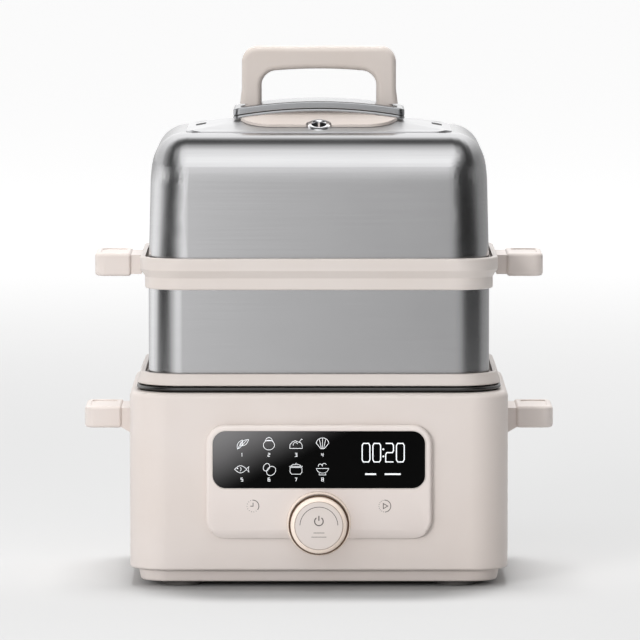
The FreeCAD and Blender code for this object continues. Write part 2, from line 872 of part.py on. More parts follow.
def knob_cap():
    body = new_body("knob_cap")
    seat = f"{knob_back} + knob_core_length"
    crown = f"{panel_front} + knob_reach"
    face = sketch(body, "XZ_Plane", seat, up="knob_level")
    pad(body, circles(face, "knob_ring_bore - fit / 2"), f"{crown} - ({seat})")
    fillet(body, "knob_edge", lies("Y", f"-({crown})"))
    groove = sketch(body, "XZ_Plane", crown, up="knob_level")
    circles(groove, "knob_groove_radius")
    circles(groove, "knob_groove_radius - knob_groove_width")
    pocket(body, groove, "knob_groove_depth")
    return body


def encoder_shaft():
    body = new_body("encoder_shaft")
    end = f"{board_front} + shaft_stop + fit"
    tip = f"{knob_back} + knob_core_length - shaft_stop - fit"
    face = sketch(body, "XZ_Plane", end, up="knob_level")
    pad(body, circles(face, "shaft_radius"), f"{tip} - ({end})")
    return body


# Mains side

def power_board():
    body = new_body("power_board")
    board = sketch(body, "XY_Plane", power_z)
    pad(body, rounded(board, "power_width", "power_depth", "post_radius"), "board_thickness")
    top = f"{power_z} + board_thickness"
    side, end = "power_width / 2 - component_margin", "power_depth / 2 - component_margin"
    relay = sketch(body, "XY_Plane", top, f"relay_length / 2 - ({side})")
    pad(body, box_outline(relay, "relay_length", "relay_width"), "relay_height")
    choke = sketch(body, "XY_Plane", top, f"{side} - choke_length / 2", f"{end} - choke_width / 2")
    pad(body, box_outline(choke, "choke_length", "choke_width"), "choke_height")
    storage = sketch(body, "XY_Plane", top, f"{side} - choke_length / 2", f"capacitor_radius - ({end})")
    pad(body, circles(storage, "capacitor_radius"), "capacitor_height")
    return body


def power_inlet():
    body = new_body("power_inlet")
    face = f"-({front})"
    bezel = sketch(body, "XZ_Plane", face, inlet_side, "inlet_level")
    pad(body, rounded(bezel, "inlet_width + 2 * inlet_flange", "inlet_height + 2 * inlet_flange",
                      "inlet_flange"), "inlet_flange_thickness", back=True)
    shroud = sketch(body, "XZ_Plane", face, inlet_side, "inlet_level")
    pad(body, box_outline(shroud, "inlet_width", "inlet_height"), "inlet_length")
    mouth = sketch(body, "XZ_Plane", f"{face} - inlet_flange_thickness", inlet_side, "inlet_level")
    pocket(body, rounded(mouth, "inlet_width - 2 * inlet_wall", "inlet_height - 2 * inlet_wall",
                         "inlet_wall / 2"), "inlet_length + inlet_flange_thickness - inlet_wall",
           back=True)
    return body


def inlet_pins():
    body = new_body("inlet_pins")
    root = f"-({front} - inlet_length + inlet_wall)"
    for across, above in (("-pin_spread / 2", "-pin_height / 2"), ("pin_spread / 2", "-pin_height / 2"),
                          ("0", "pin_height")):
        pin_face = sketch(body, "XZ_Plane", root, f"{inlet_side} + {across}", f"inlet_level + {above}")
        pad(body, box_outline(pin_face, "pin_width", "pin_height"), "pin_length", back=True)
    return body


# Pot

def inner_pot():
    body = new_body("inner_pot")
    pad(body, rounded(sketch(body, "XY_Plane", pot_z), *pot_plan("0")), pot_height)
    flange = rounded(sketch(body, "XY_Plane", rim_z), *steel_plan("pot_flange_reach"))
    pad(body, flange, "pot_flange")
    bowl = rounded(sketch(body, "XY_Plane", f"{rim_z} + pot_flange"), *pot_plan("-pot_wall"))
    pocket(body, bowl, f"{pot_height} + pot_flange - pot_wall")
    fillet(body, "pot_bend - pot_wall", lies("Z", f"{pot_z} + pot_wall"))
    fillet(body, "pot_bend", lies("Z", pot_z))
    return body


def pot_ring():
    body = new_body("pot_ring")
    ring = rounded(sketch(body, "XY_Plane", rim_z), *steel_plan("pot_ring_reach"))
    pad(body, ring, "pot_ring_height", taper="-atan(pot_ring_flare / pot_ring_height)")
    top = f"{rim_z} + pot_ring_height"
    fillet(body, "lip_edge", lies("Z", top, rim_z))
    recess = rounded(sketch(body, "XY_Plane", rim_z), *steel_plan("pot_flange_reach + fit"))
    pocket(body, recess, "pot_flange", back=True)
    lip = rounded(sketch(body, "XY_Plane", top), *steel_plan("lip_gap"))
    pocket(body, lip, "pot_ring_height - pot_seat")
    bore = rounded(sketch(body, "XY_Plane", top), *steel_plan("-ledge_width"))
    pocket(body, bore, "pot_ring_height")
    return body


# Steaming tier

def steamer_shell():
    body = new_body("steamer_shell")
    length = "tier_rise + tier_seat - ledge"
    pad(body, rounded(sketch(body, "XY_Plane", tier_z), *steel_plan("0")), length)
    top = f"{tier_z} + {length}"
    inside = rounded(sketch(body, "XY_Plane", top), *steel_plan("-steel_wall"))
    pocket(body, inside, f"{length} - steel_wall")
    hole = rounded(sketch(body, "XY_Plane", top), *steel_plan("-steel_wall - shell_flange"))
    pocket(body, hole, length)
    return body


def tier_ring():
    body = new_body("tier_ring")
    top = f"{tier_ring_z} + tier_ring_height"
    slope_z = f"{tier_ring_z} + skirt_height"
    slope = "tier_ring_height - lip_height - skirt_height"
    spread = "lip_gap + lip_wall - skirt_wall"
    skirt = rounded(sketch(body, "XY_Plane", tier_ring_z), *steel_plan("skirt_wall"))
    pad(body, skirt, "skirt_height")
    fillet(body, "lip_edge", lies("Z", tier_ring_z))
    flare = rounded(sketch(body, "XY_Plane", slope_z), *steel_plan("skirt_wall"))
    pad(body, flare, slope, taper=f"atan(({spread}) / ({slope}))")
    band = rounded(sketch(body, "XY_Plane", top), *steel_plan("lip_gap + lip_wall"))
    pad(body, band, "lip_height", back=True)
    fillet(body, "lip_edge", lies("Z", top))
    socket = rounded(sketch(body, "XY_Plane", tier_ring_z), *steel_plan("fit / 2"))
    pocket(body, socket, "tier_seat - ledge", back=True)
    lip = rounded(sketch(body, "XY_Plane", top), *steel_plan("lip_gap"))
    pocket(body, lip, "tier_ring_height - tier_seat")
    bore = rounded(sketch(body, "XY_Plane", top), *steel_plan("-ledge_width"))
    pocket(body, bore, "tier_ring_height")
    return body


def tier_handle(name, side):
    root = "steel_width / 2 + lip_gap + lip_wall"
    top = f"{tier_ring_z} + tier_ring_height - handle_relief / 2"
    return side_handle(name, side, root, top, "tier_handle_reach", "tier_handle_thickness",
                       "0", False)


# The tray is rounder than the wall around it, which leaves room for steam at the corners.
def tray_plan(inset):
    width, depth, _ = steel_plan(f"-(ledge_width + tray_clearance + {inset})")
    return width, depth, f"tray_corner - {inset}"


def steam_tray():
    body = new_body("steam_tray")
    bottom = f"{tier_z} + steel_wall"
    pad(body, rounded(sketch(body, "XY_Plane", bottom), *tray_plan("0")), "tray_height")
    fillet(body, "base_hem", lies("Z", bottom))
    top = f"{bottom} + tray_height"
    dish = rounded(sketch(body, "XY_Plane", top), *tray_plan("steel_wall"))
    pocket(body, dish, "tray_height - steel_wall")
    columns, rows = 5, 8
    across = "steel_width - 2 * slot_margin"
    along = "steel_depth - 2 * slot_margin"
    corner = sketch(body, "XY_Plane", top, f"-({across}) / 2", f"-({along}) / 2")
    slot = pocket(body, rounded(corner, "slot_length", "slot_width", f"slot_width * {slot_end}"),
                  f"tray_height + {past}")
    repeat(body, slot, "X_Axis", f"({across}) / {columns - 1}", columns,
           ("Y_Axis", f"({along}) / {rows - 1}", rows))
    return body


# Lid

saddle_top = f"{crown_z} + saddle_cover"
loop_half = "saddle_width / 2 - loop_inset"
guard_half = f"{loop_half} + guard_overhang"
leg_spread = f"{loop_half} - leg_width / 2 - leg_foot_inset / 2"
leg_spots = [(f"-({leg_spread})", "0"), (leg_spread, "0")]


# The drawn shell's outer form, and the same form set in by a wall for its inside.
def lid_form(name, inset):
    body = new_body(name)
    crease = f"{crease_z} - ({inset})"
    width = f"steel_width - 2 * ({inset})"
    depth = f"steel_depth - 2 * ({inset})"
    foot = rounded(sketch(body, "XY_Plane", lid_z), width, depth, f"lid_corner - ({inset})")
    pad(body, foot, f"lid_height - ({inset})", taper="-lid_draft")
    fillet(body, f"lid_shoulder - ({inset})", lies("Z", crease))
    crown_width = f"{width} - 2 * crown_inset"
    crown_depth = f"{depth} - 2 * crown_inset"
    root = "crown_rise / 4"
    plan = sketch(body, "XY_Plane", f"{crease} - {root}")
    pad(body, rounded(plan, crown_width, crown_depth, f"crown_corner - ({inset})"),
        f"crown_rise + {root}")
    crown, sag = f"{crease} + crown_rise", "crown_rise - crown_step"
    arch_cut(body, "YZ_Plane", crown, f"({crown_depth}) / 2", sag, width)
    arch_cut(body, "XZ_Plane", crown, f"({crown_width}) / 2", sag, depth)
    return body


def lid_holes():
    body = new_body("lid_holes")
    bottom = f"{crease_z} - lid_shoulder / 2"
    depth = "lid_shoulder"
    for side in (-1, 1):
        vent = sketch(body, "XY_Plane", bottom, f"{side} * side_vent_across / 2", "side_vent_back")
        outline = rounded(vent, "side_vent_length", "side_vent_width", f"side_vent_width * {slot_end}")
        pad(body, outline, depth)
    steam = sketch(body, "XY_Plane", bottom, up="-eyelet_forward")
    pad(body, circles(steam, "eyelet_hole"), depth)
    screws = sketch(body, "XY_Plane", bottom)
    pad(body, circles(screws, "lid_screw_radius + fit", leg_spots), depth)
    return body


def lid_shell():
    return cut("lid_shell", lid_form("lid_outside", "0"), lid_form("lid_inside", "steel_wall"),
               lid_holes())


def handle_base():
    body = new_body("saddle")
    plan = rounded(sketch(body, "XY_Plane", crease_z), "saddle_width", "saddle_depth", "saddle_corner")
    pad(body, plan, "crown_rise + saddle_cover")
    arch_cut(body, "YZ_Plane", saddle_top, "saddle_depth / 2", "saddle_drop_front", "saddle_width * 2")
    arch_cut(body, "XZ_Plane", saddle_top, "saddle_width / 2", "saddle_drop_side", "saddle_depth * 2")
    for side in (-1, 1):
        pads = sketch(body, "XY_Plane", crease_z, f"{side} * ({leg_spread})")
        pad(body, rounded(pads, "leg_width - leg_foot_inset", "loop_depth", "loop_edge"),
            "crown_rise + saddle_pad")
    holes = circles(sketch(body, "XY_Plane", crease_z), "lid_screw_radius + fit", leg_spots)
    pocket(body, holes, "2 * crown_rise", back=True)
    notch = circles(sketch(body, "XY_Plane", crease_z, up="-eyelet_forward"), "eyelet_radius + fit")
    pocket(body, notch, "2 * crown_rise", back=True)
    return cut("handle_base", body, lid_form("lid_under_saddle", "-saddle_gap"))


# The hand's opening: upright sides, and a top that arches up towards the middle.
def arched_opening(drawing, half, height, sag):
    radius = arch_radius(half, sag)
    span, side, bend = number(half), number(height) - number(sag), number(radius)
    start = math.acos(span / bend)
    circle = Part.Circle(Vector(0, number(height) - bend), Vector(0, 0, 1), bend)
    drawing.addGeometry(Part.ArcOfCircle(circle, start, math.pi - start))
    posts = [Vector(-span, side), Vector(-span, -past), Vector(span, -past), Vector(span, side)]
    for turn in range(3):
        drawing.addGeometry(Part.LineSegment(posts[turn], posts[turn + 1]))
    for turn in range(4):
        link(drawing, "Coincident", turn, 2, (turn + 1) % 4, 1)
    link(drawing, "Vertical", 1)
    link(drawing, "Horizontal", 2)
    link(drawing, "Vertical", 3)
    pin(drawing, radius, "Radius", 0)
    pin(drawing, "0", "DistanceX", -1, 1, 0, 3)
    pin(drawing, f"-({half})", "DistanceX", -1, 1, 2, 1)
    pin(drawing, f"-{past}", "DistanceY", -1, 1, 2, 1)
    pin(drawing, f"{height} - ({radius})", "DistanceY", -1, 1, 0, 3)
    return drawing


def lid_handle():
    body = new_body("lid_handle")
    inner = f"{loop_half} - leg_width"
    flare, foot = f"{loop_half} + leg_flare", f"{loop_half} - leg_foot_inset"
    bend_z = "leg_foot + leg_flare_rise"
    right = [(flare, "leg_foot"), (loop_half, bend_z), (loop_half, "loop_height")]
    left = [(f"-({x})", z) for x, z in reversed(right)]
    block = polygon(sketch(body, "XZ_Plane", up=pad_z), right + left)
    pad(body, block, "loop_depth", both=True)

    def corner(x, z):
        level, spot = lies("Z", f"{pad_z} + {z}"), number(x)
        return lambda edge: level(edge) and abs(abs(edge.BoundBox.Center.x) - spot) < near
    fillet(body, "loop_corner", corner(loop_half, "loop_height"))
    grip = arched_opening(sketch(body, "XZ_Plane", up=pad_z), inner, "loop_height - grip_height",
                          "grip_arch")
    pocket(body, grip, f"loop_depth + {past}", both=True)
    fillet(body, "grip_corner", corner(inner, "loop_height - grip_height - grip_arch"))
    foot_level = lies("Z", f"{pad_z} + leg_foot")
    face = lies("Y", "-loop_depth / 2", "loop_depth / 2")
    fillet(body, "loop_edge", lambda edge: face(edge) and not foot_level(edge))
    for side in (-1, 1):
        leg_mid = f"{side} * ({inner} + {foot}) / 2"
        leg = rounded(sketch(body, "XY_Plane", pad_z, leg_mid), f"{foot} - ({inner})", "loop_depth",
                      "loop_edge")
        pad(body, leg, "leg_foot")
    bores = circles(sketch(body, "XY_Plane", pad_z), "lid_screw_radius + fit / 3", leg_spots)
    pocket(body, bores, "lid_screw_bite + fit", back=True)
    return body


# A band between two arches of one centre, ending upright at both sides.
def arched_band(drawing, half, sag, top, bottom):
    radius = arch_radius(half, sag)
    bend, span = number(radius), number(half)
    upper, lower = bend - number(top), bend - number(bottom)
    centre = Vector(0, -bend)
    for index, reach in enumerate((upper, lower)):
        start = math.acos(span / reach)
        circle = Part.Circle(centre, Vector(0, 0, 1), reach)
        drawing.addGeometry(Part.ArcOfCircle(circle, start, math.pi - start))
        pin(drawing, f"{radius} - ({(top, bottom)[index]})", "Radius", index)
    ends = [(drawing.getPoint(index, 2), drawing.getPoint(index, 1)) for index in (0, 1)]
    for side in (0, 1):
        drawing.addGeometry(Part.LineSegment(ends[0][side], ends[1][side]))
        link(drawing, "Coincident", 2 + side, 1, 0, 2 - side)
        link(drawing, "Coincident", 2 + side, 2, 1, 2 - side)
        link(drawing, "Vertical", 2 + side)
        pin(drawing, f"{2 * side - 1} * ({half})", "DistanceX", -1, 1, 2 + side, 1)
    link(drawing, "Coincident", 0, 3, 1, 3)
    pin(drawing, "0", "DistanceX", -1, 1, 0, 3)
    pin(drawing, f"-({radius})", "DistanceY", -1, 1, 0, 3)
    return drawing


def steam_guard():
    body = new_body("steam_guard")
    level = f"{pad_z} + guard_lift"
    face = sketch(body, "XZ_Plane", up=level)
    pad(body, arched_band(face, guard_half, "guard_arch", "0", "guard_height"), "guard_depth",
        both=True)
    inside = sketch(body, "XZ_Plane", up=level)
    hollow = arched_band(inside, f"{guard_half} - guard_sheet", "guard_arch", "guard_sheet",
                         f"guard_height + {past}")
    pocket(body, hollow, "guard_depth - 2 * guard_sheet", both=True)
    for side in (-1, 1):
        slot = sketch(body, "XY_Plane", pad_z, f"{side} * ({leg_spread})")
        leg = rounded(slot, "leg_width - leg_foot_inset + 2 * fit", "loop_depth + 2 * fit", "loop_edge")
        pocket(body, leg, "guard_lift + guard_height", back=True)
    return body


def vent_eyelet():
    body = new_body("eyelet")
    plan = circles(sketch(body, "XY_Plane", crease_z, up="-eyelet_forward"), "eyelet_radius")
    pad(body, plan, "eyelet_height")
    fillet(body, "eyelet_bore", lies("Z", f"{crease_z} + eyelet_height"))
    bore = sketch(body, "XY_Plane", f"{crease_z} + eyelet_height", up="-eyelet_forward")
    pocket(body, circles(bore, "eyelet_bore"), "eyelet_height")
    return cut("vent_eyelet", body, lid_form("lid_under_eyelet", "-saddle_gap"))


def lid_screws():
    body = new_body("lid_screws")
    half = "(steel_width - 2 * crown_inset) / 2"
    reach = f"{leg_spread} + lid_screw_head"
    drop = f"(crown_rise - crown_step) * ({reach}) * ({reach}) / (({half}) * ({half}))"
    seat = f"{crown_z} - steel_wall - {drop} - fit"
    heads = circles(sketch(body, "XY_Plane", seat), "lid_screw_head", leg_spots)
    pad(body, heads, "lid_screw_head_height", back=True)
    shanks = circles(sketch(body, "XY_Plane", seat), "lid_screw_radius", leg_spots)
    pad(body, shanks, f"{pad_z} + lid_screw_bite - ({seat})")
    return body


pieces = [
    base_housing(),
    bottom_cover(),
    rubber_feet(),
    base_screws(),
    base_handle("base_handle_left", -1),
    base_handle("base_handle_right", 1),
    handle_screws(),
    base_gasket(),
    pot_well(),
    heating_plate(),
    heating_element(),
    heater_posts(),
    thermal_fuse(),
    sensor_cap(),
    sensor_spring(),
    control_panel(),
    display_glass(),
    display_module(),
    control_board(),
    touch_springs(),
    rotary_encoder(),
    knob_core(),
    knob_ring(),
    knob_cap(),
    encoder_shaft(),
    power_board(),
    power_inlet(),
    inlet_pins(),
    inner_pot(),
    pot_ring(),
    steamer_shell(),
    tier_ring(),
    tier_handle("tier_handle_left", -1),
    tier_handle("tier_handle_right", 1),
    steam_tray(),
    lid_shell(),
    handle_base(),
    lid_handle(),
    steam_guard(),
    vent_eyelet(),
    lid_screws(),
]

doc.recompute()
for item in doc.Objects:
    if "Invalid" in item.State or "Error" in item.State:
        raise RuntimeError(f"{item.Name} {item.Label} did not compute")
for piece in pieces:
    if piece.Shape.isNull() or not piece.Shape.isValid():
        raise RuntimeError(f"{piece.Label} has no valid shape")

os.makedirs("parts", exist_ok=True)
for piece in pieces:
    piece.Shape.exportStep(f"parts/{piece.Label}.step")
    print(piece.Label, len(piece.Shape.Solids), round(piece.Shape.Volume))
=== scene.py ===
import json
import math

import bmesh
import bpy
from mathutils import Matrix, Vector
from mathutils.bvhtree import BVHTree


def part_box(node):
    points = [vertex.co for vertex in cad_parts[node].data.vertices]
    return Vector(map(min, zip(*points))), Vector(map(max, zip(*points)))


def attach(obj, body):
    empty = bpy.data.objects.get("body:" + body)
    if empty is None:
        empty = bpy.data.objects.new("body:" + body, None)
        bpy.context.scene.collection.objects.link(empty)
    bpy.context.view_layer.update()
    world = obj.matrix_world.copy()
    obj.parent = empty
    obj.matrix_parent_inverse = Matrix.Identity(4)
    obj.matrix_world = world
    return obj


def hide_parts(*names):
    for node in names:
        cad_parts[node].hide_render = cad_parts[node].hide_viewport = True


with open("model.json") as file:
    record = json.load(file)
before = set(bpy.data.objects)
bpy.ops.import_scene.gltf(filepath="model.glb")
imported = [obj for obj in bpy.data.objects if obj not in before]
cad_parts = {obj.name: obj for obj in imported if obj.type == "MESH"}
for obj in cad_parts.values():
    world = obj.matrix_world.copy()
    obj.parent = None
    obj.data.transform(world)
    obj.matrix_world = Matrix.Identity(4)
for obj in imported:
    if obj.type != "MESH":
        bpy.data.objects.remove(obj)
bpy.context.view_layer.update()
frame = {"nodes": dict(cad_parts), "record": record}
nodes = frame["nodes"]
record = frame["record"]
scene = bpy.context.scene
bodyOf = {node: body for body, names in record["behaviour"]["bodies"].items() for node in names}
mm = 0.001
print("frame loaded,", len(nodes), "nodes")


# node helpers

def add(tree, kind, values=None, **settings):
    node = tree.nodes.new("ShaderNode" + kind)
    for name, value in settings.items():
        setattr(node, name, value)
    for name, value in (values or {}).items():
        node.inputs[name].default_value = value
    return node


def wire(tree, source, target):
    tree.links.new(source, target)


def feed(tree, item, socket):
    if isinstance(item, (int, float, tuple)):
        socket.default_value = item
    else:
        wire(tree, item, socket)


def fed(tree, kind, items, **settings):
    node = add(tree, kind, **settings)
    for item, socket in zip(items, node.inputs):
        feed(tree, item, socket)
    return node.outputs[0]


def math2(tree, operation, *items):
    return fed(tree, "Math", items, operation=operation)


def spread(tree, value, low, high, newLow, newHigh, easing="LINEAR"):
    return fed(tree, "MapRange", (value, low, high, newLow, newHigh), interpolation_type=easing)


def noiseOn(tree, vector, scale, detail=3.0, roughness=0.55):
    node = add(tree, "TexNoise", {"Detail": detail, "Roughness": roughness})
    wire(tree, vector, node.inputs["Vector"])
    feed(tree, scale, node.inputs["Scale"])
    return node.outputs["Fac"]


def blend(tree, share, first, second):
    node = add(tree, "Mix", data_type="RGBA")
    sockets = {socket.identifier: socket for socket in list(node.inputs) + list(node.outputs)}
    for name, item in (("Factor_Float", share), ("A_Color", first), ("B_Color", second)):
        feed(tree, item, sockets[name])
    return sockets["Result_Color"]


# texture coordinates, whole and split into X, Y and Z
def placeOn(tree, kind="Object"):
    spot = add(tree, "TexCoord").outputs[kind]
    split = add(tree, "SeparateXYZ")
    wire(tree, spot, split.inputs[0])
    return spot, split.outputs


def openSocket(tree, label, kind, side="INPUT"):
    return tree.interface.new_socket(label, in_out=side, socket_type="NodeSocket" + kind)


# a group that takes two tints, its own scales and a range of gloss
def skinGroup(name, *scales):
    tree = bpy.data.node_groups.new(name, "ShaderNodeTree")
    for label in ("Tint", "Shade"):
        openSocket(tree, label, "Color")
    for label in (*scales, "Gloss Low", "Gloss High"):
        openSocket(tree, label, "Float")
    for label, kind in (("Color", "Color"), ("Roughness", "Float"), ("Height", "Float")):
        openSocket(tree, label, kind, "OUTPUT")
    asked, given = (tree.nodes.new("NodeGroup" + end) for end in ("Input", "Output"))
    return tree, add(tree, "TexCoord").outputs, asked.outputs, given.inputs


# moulded skin: fine grain, cloudy tint and a little change in gloss
def buildMouldedSkin():
    tree, coords, asked, given = skinGroup("mouldedSkin", "Grain Scale", "Cloud Scale")
    cloud = noiseOn(tree, coords["Object"], asked["Cloud Scale"], 2.0)
    share = spread(tree, cloud, 0.35, 0.65, 0.0, 1.0)
    wire(tree, blend(tree, share, asked["Tint"], asked["Shade"]), given["Color"])
    grain = noiseOn(tree, coords["Object"], asked["Grain Scale"], 2.0)
    wire(tree, spread(tree, grain, 0.3, 0.7, asked["Gloss Low"], asked["Gloss High"]), given["Roughness"])
    wire(tree, grain, given["Height"])
    return tree


# drawn sheet: fine lines that run level round the walls and across the top
def buildBrushedLines():
    tree, coords, asked, given = skinGroup("brushedLines", "Line Scale")
    facing = add(tree, "SeparateXYZ")
    wire(tree, coords["Normal"], facing.inputs[0])
    upward = math2(tree, "ABSOLUTE", facing.outputs["Z"])
    onTop = spread(tree, upward, 0.6, 0.8, 0.0, 1.0, "SMOOTHSTEP")
    along, across = 9.0, asked["Line Scale"]
    lines = []
    for stretch in ((along, along, across), (along, across, along)):
        ends = fed(tree, "CombineXYZ", stretch)
        scaled = fed(tree, "VectorMath", (coords["Object"], ends), operation="MULTIPLY")
        lines.append(noiseOn(tree, scaled, 1.0, 3.0, 0.6))
    level = spread(tree, onTop, 0.0, 1.0, *lines)
    wire(tree, level, given["Height"])
    share = spread(tree, level, 0.3, 0.7, 0.0, 1.0)
    wire(tree, blend(tree, share, asked["Shade"], asked["Tint"]), given["Color"])
    smudge = noiseOn(tree, coords["Object"], 14.0, 2.0)
    wire(tree, spread(tree, smudge, 0.3, 0.7, asked["Gloss Low"], asked["Gloss High"]), given["Roughness"])
    return tree


mouldedSkin = buildMouldedSkin()
brushedLines = buildBrushedLines()


def newMaterial(name, plain):
    material = bpy.data.materials.new(name)
    material.use_nodes = True
    shader = material.node_tree.nodes["Principled BSDF"]
    for socket, value in plain.items():
        shader.inputs[socket].default_value = value
    return material, material.node_tree, shader


def rgb(red, green, blue):
    def linear(value):
        share = value / 255
        return share / 12.92 if share <= 0.04045 else ((share + 0.055) / 1.055) ** 2.4
    return (linear(red), linear(green), linear(blue), 1.0)


def surface(name, group, asked, gloss, bump, plain):
    material, tree, shader = newMaterial(name, plain)
    skin = tree.nodes.new("ShaderNodeGroup")
    skin.node_tree = group
    for label, value in dict(asked, **{"Gloss Low": gloss[0], "Gloss High": gloss[1]}).items():
        skin.inputs[label].default_value = value
    for label, target in (("Color", "Base Color"), ("Roughness", "Roughness")):
        wire(tree, skin.outputs[label], shader.inputs[target])
    relief = add(tree, "Bump", {"Strength": bump[0], "Distance": bump[1]})
    wire(tree, skin.outputs["Height"], relief.inputs["Height"])
    wire(tree, relief.outputs["Normal"], shader.inputs["Normal"])
    return material


def moulded(name, tint, shade, grain=1400.0, gloss=(0.32, 0.42), strength=0.06, **plain):
    asked = {"Tint": rgb(*tint), "Shade": rgb(*shade), "Grain Scale": grain, "Cloud Scale": 11.0}
    return surface(name, mouldedSkin, asked, gloss, (strength, 0.0002), plain)


def sheetMetal(name, tint, shade, lines=1700.0, gloss=(0.24, 0.32), strength=0.05):
    asked = {"Tint": rgb(*tint), "Shade": rgb(*shade), "Line Scale": lines}
    return surface(name, brushedLines, asked, gloss, (strength, 0.0001), {"Metallic": 1.0})


# smoked glass with a painted reflection that grows paler towards its upper left corner
def buildSmokedGlass():
    look = {"left": -0.082, "top": 0.122, "across": 0.75, "down": 1.5, "ragged": 0.006, "reach": 0.086,
            "paintedReflection": rgb(122, 121, 122), "deep": rgb(2, 2, 2)}
    material, tree, shader = newMaterial("smokedGlass", {
        "Roughness": 0.12, "Specular IOR Level": 0.05, "Coat Weight": 0.0})
    spot, place = placeOn(tree)
    across = math2(tree, "SUBTRACT", place["X"], look["left"])
    down = math2(tree, "SUBTRACT", look["top"], place["Z"])
    away = math2(tree, "ADD", math2(tree, "MULTIPLY", across, look["across"]),
                 math2(tree, "MULTIPLY", down, look["down"]))
    cloud = noiseOn(tree, spot, 26.0, 1.0)
    ragged = math2(tree, "ADD", away, math2(tree, "MULTIPLY", cloud, look["ragged"]))
    # painted reflection: the colour turns from the deep tone to the paler one towards the upper left
    share = spread(tree, ragged, 0.0, look["reach"], 1.0, 0.0, "SMOOTHSTEP")
    wire(tree, blend(tree, share, look["deep"], look["paintedReflection"]), shader.inputs["Base Color"])
    return material


cream = moulded("creamPlastic", (211, 202, 197), (208, 198, 192))
# painted light: a lighter copy of the cream, so the control panel reads as bright as the base front
litPanelCream = moulded("litPanelCream", (220, 211, 206), (217, 207, 202))
# painted shade: a darker copy of the cream for the lid handle and its base
shadedHandleCream = moulded("shadedHandleCream", (194, 185, 179), (191, 181, 174))
paleRim = moulded("paleRimPlastic", (205, 197, 192), (202, 193, 187))
# the skirt's own peach, also used as a painted highlight on the knob cap's rounded edge
peachAndEdgeHighlight = moulded("peachSkirt", (244, 229, 216), (239, 222, 208), gloss=(0.26, 0.34))
steel = sheetMetal("brushedSteel", (181, 181, 182), (177, 177, 178), gloss=(0.21, 0.25), strength=0.02)
# the crown's steel: a rougher finish, with a lighter tint that is painted light on the lid's top
litCrownSteel = sheetMetal("litCrownSteel", (214, 214, 215), (209, 209, 210), gloss=(0.38, 0.46), strength=0.02)
guardSteel = sheetMetal("guardSteel", (166, 167, 169), (156, 157, 159), gloss=(0.22, 0.30))
wellSteel = sheetMetal("wellSheet", (214, 214, 216), (200, 200, 203), 900.0, (0.28, 0.40))
castMetal = sheetMetal("castHeater", (196, 196, 198), (178, 178, 181), 2200.0, (0.34, 0.46))
tubeMetal = sheetMetal("heaterTube", (112, 108, 104), (90, 86, 82), 600.0, (0.40, 0.55))
screwMetal = sheetMetal("screwSteel", (176, 176, 180), (158, 158, 162), 2600.0, (0.28, 0.38))
bronze = sheetMetal("bronzeKnurl", (118, 92, 72), (86, 64, 48), 2400.0, (0.26, 0.36))
chrome = sheetMetal("polishedTrim", (236, 236, 238), (226, 226, 229), 2600.0, (0.06, 0.12), 0.01)
brass = sheetMetal("contactBrass", (214, 184, 120), (196, 164, 100), 2600.0, (0.22, 0.32))
# painted shade: a dark material for the groove in the steam guard's edge
grooveShadePaint = moulded("paintedGrooveShade", (26, 25, 25), (20, 19, 19), 2200.0, (0.42, 0.52), 0.05)
beadRubber = moulded("beadRubber", (10, 10, 10), (8, 8, 8), 2200.0, (0.18, 0.26), 0.03,
                     **{"Specular IOR Level": 1.0})
footRubber = moulded("footRubber", (96, 93, 91), (84, 81, 79), 2200.0, (0.60, 0.75), 0.12)
blackMoulding = moulded("blackMoulding", (30, 30, 31), (24, 24, 25), 2000.0, (0.38, 0.50), 0.10)
laminate = moulded("boardLaminate", (34, 96, 56), (28, 84, 48), 900.0, (0.28, 0.40), 0.05)
insulator = moulded("whiteInsulator", (236, 233, 226), (228, 224, 216), 1600.0, (0.20, 0.28), 0.03)
darkPrint = moulded("darkPrint", (92, 86, 82), (84, 78, 74), 3000.0, (0.45, 0.55), 0.02)
grooveLineShade = moulded("grooveLineShade", (150, 128, 112), (140, 118, 102), 3000.0, (0.35, 0.45), 0.02)
litPrint = moulded("litPrint", (246, 248, 250), (238, 241, 244), 3000.0, (0.40, 0.50), 0.02,
                   **{"Emission Color": (0.90, 0.93, 0.96, 1), "Emission Strength": 0.2})
# painted shade for the insides of holes: the crown slots and the outlet's cup
paintedHoleShade = moulded("paintedHoleShade", (14, 13, 13), (10, 10, 10), 2000.0, (0.6, 0.7), 0.02)
glass = buildSmokedGlass()
print("materials ready,", len(bpy.data.materials))


# mesh helpers

def newPiece(name, mesh, *materials):
    piece = bpy.data.objects.new(name, mesh)
    scene.collection.objects.link(piece)
    mesh.materials.clear()
    for material in materials:
        mesh.materials.append(material)
    return piece


def settle(piece):
    graph = bpy.context.evaluated_depsgraph_get()
    mesh = bpy.data.meshes.new_from_object(piece.evaluated_get(graph), preserve_all_data_layers=True,
                                           depsgraph=graph)
    piece.modifiers.clear()
    piece.data = mesh
    return piece


def smoothed(piece, angle=30.0):
    mesh = piece.data
    mesh.polygons.foreach_set("use_smooth", [True] * len(mesh.polygons))
    mesh.set_sharp_from_angle(angle=math.radians(angle))
    weighted = piece.modifiers.new("evenShading", "WEIGHTED_NORMAL")
    weighted.keep_sharp = True
    weighted.weight = 100
    return settle(piece)


def stands(piece, node):
    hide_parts(node)
    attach(piece, bodyOf[node])


def adds(piece, body):
    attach(piece, body)


# the lid's wall eases into its shoulder, and the base's gasket is a round bead
shoulder = {"crown": 10.5, "round": 25.4, "run": 14, "fade": 9, "slope": 0.11}
bead = {"depth": 2.4, "power": 2.2}


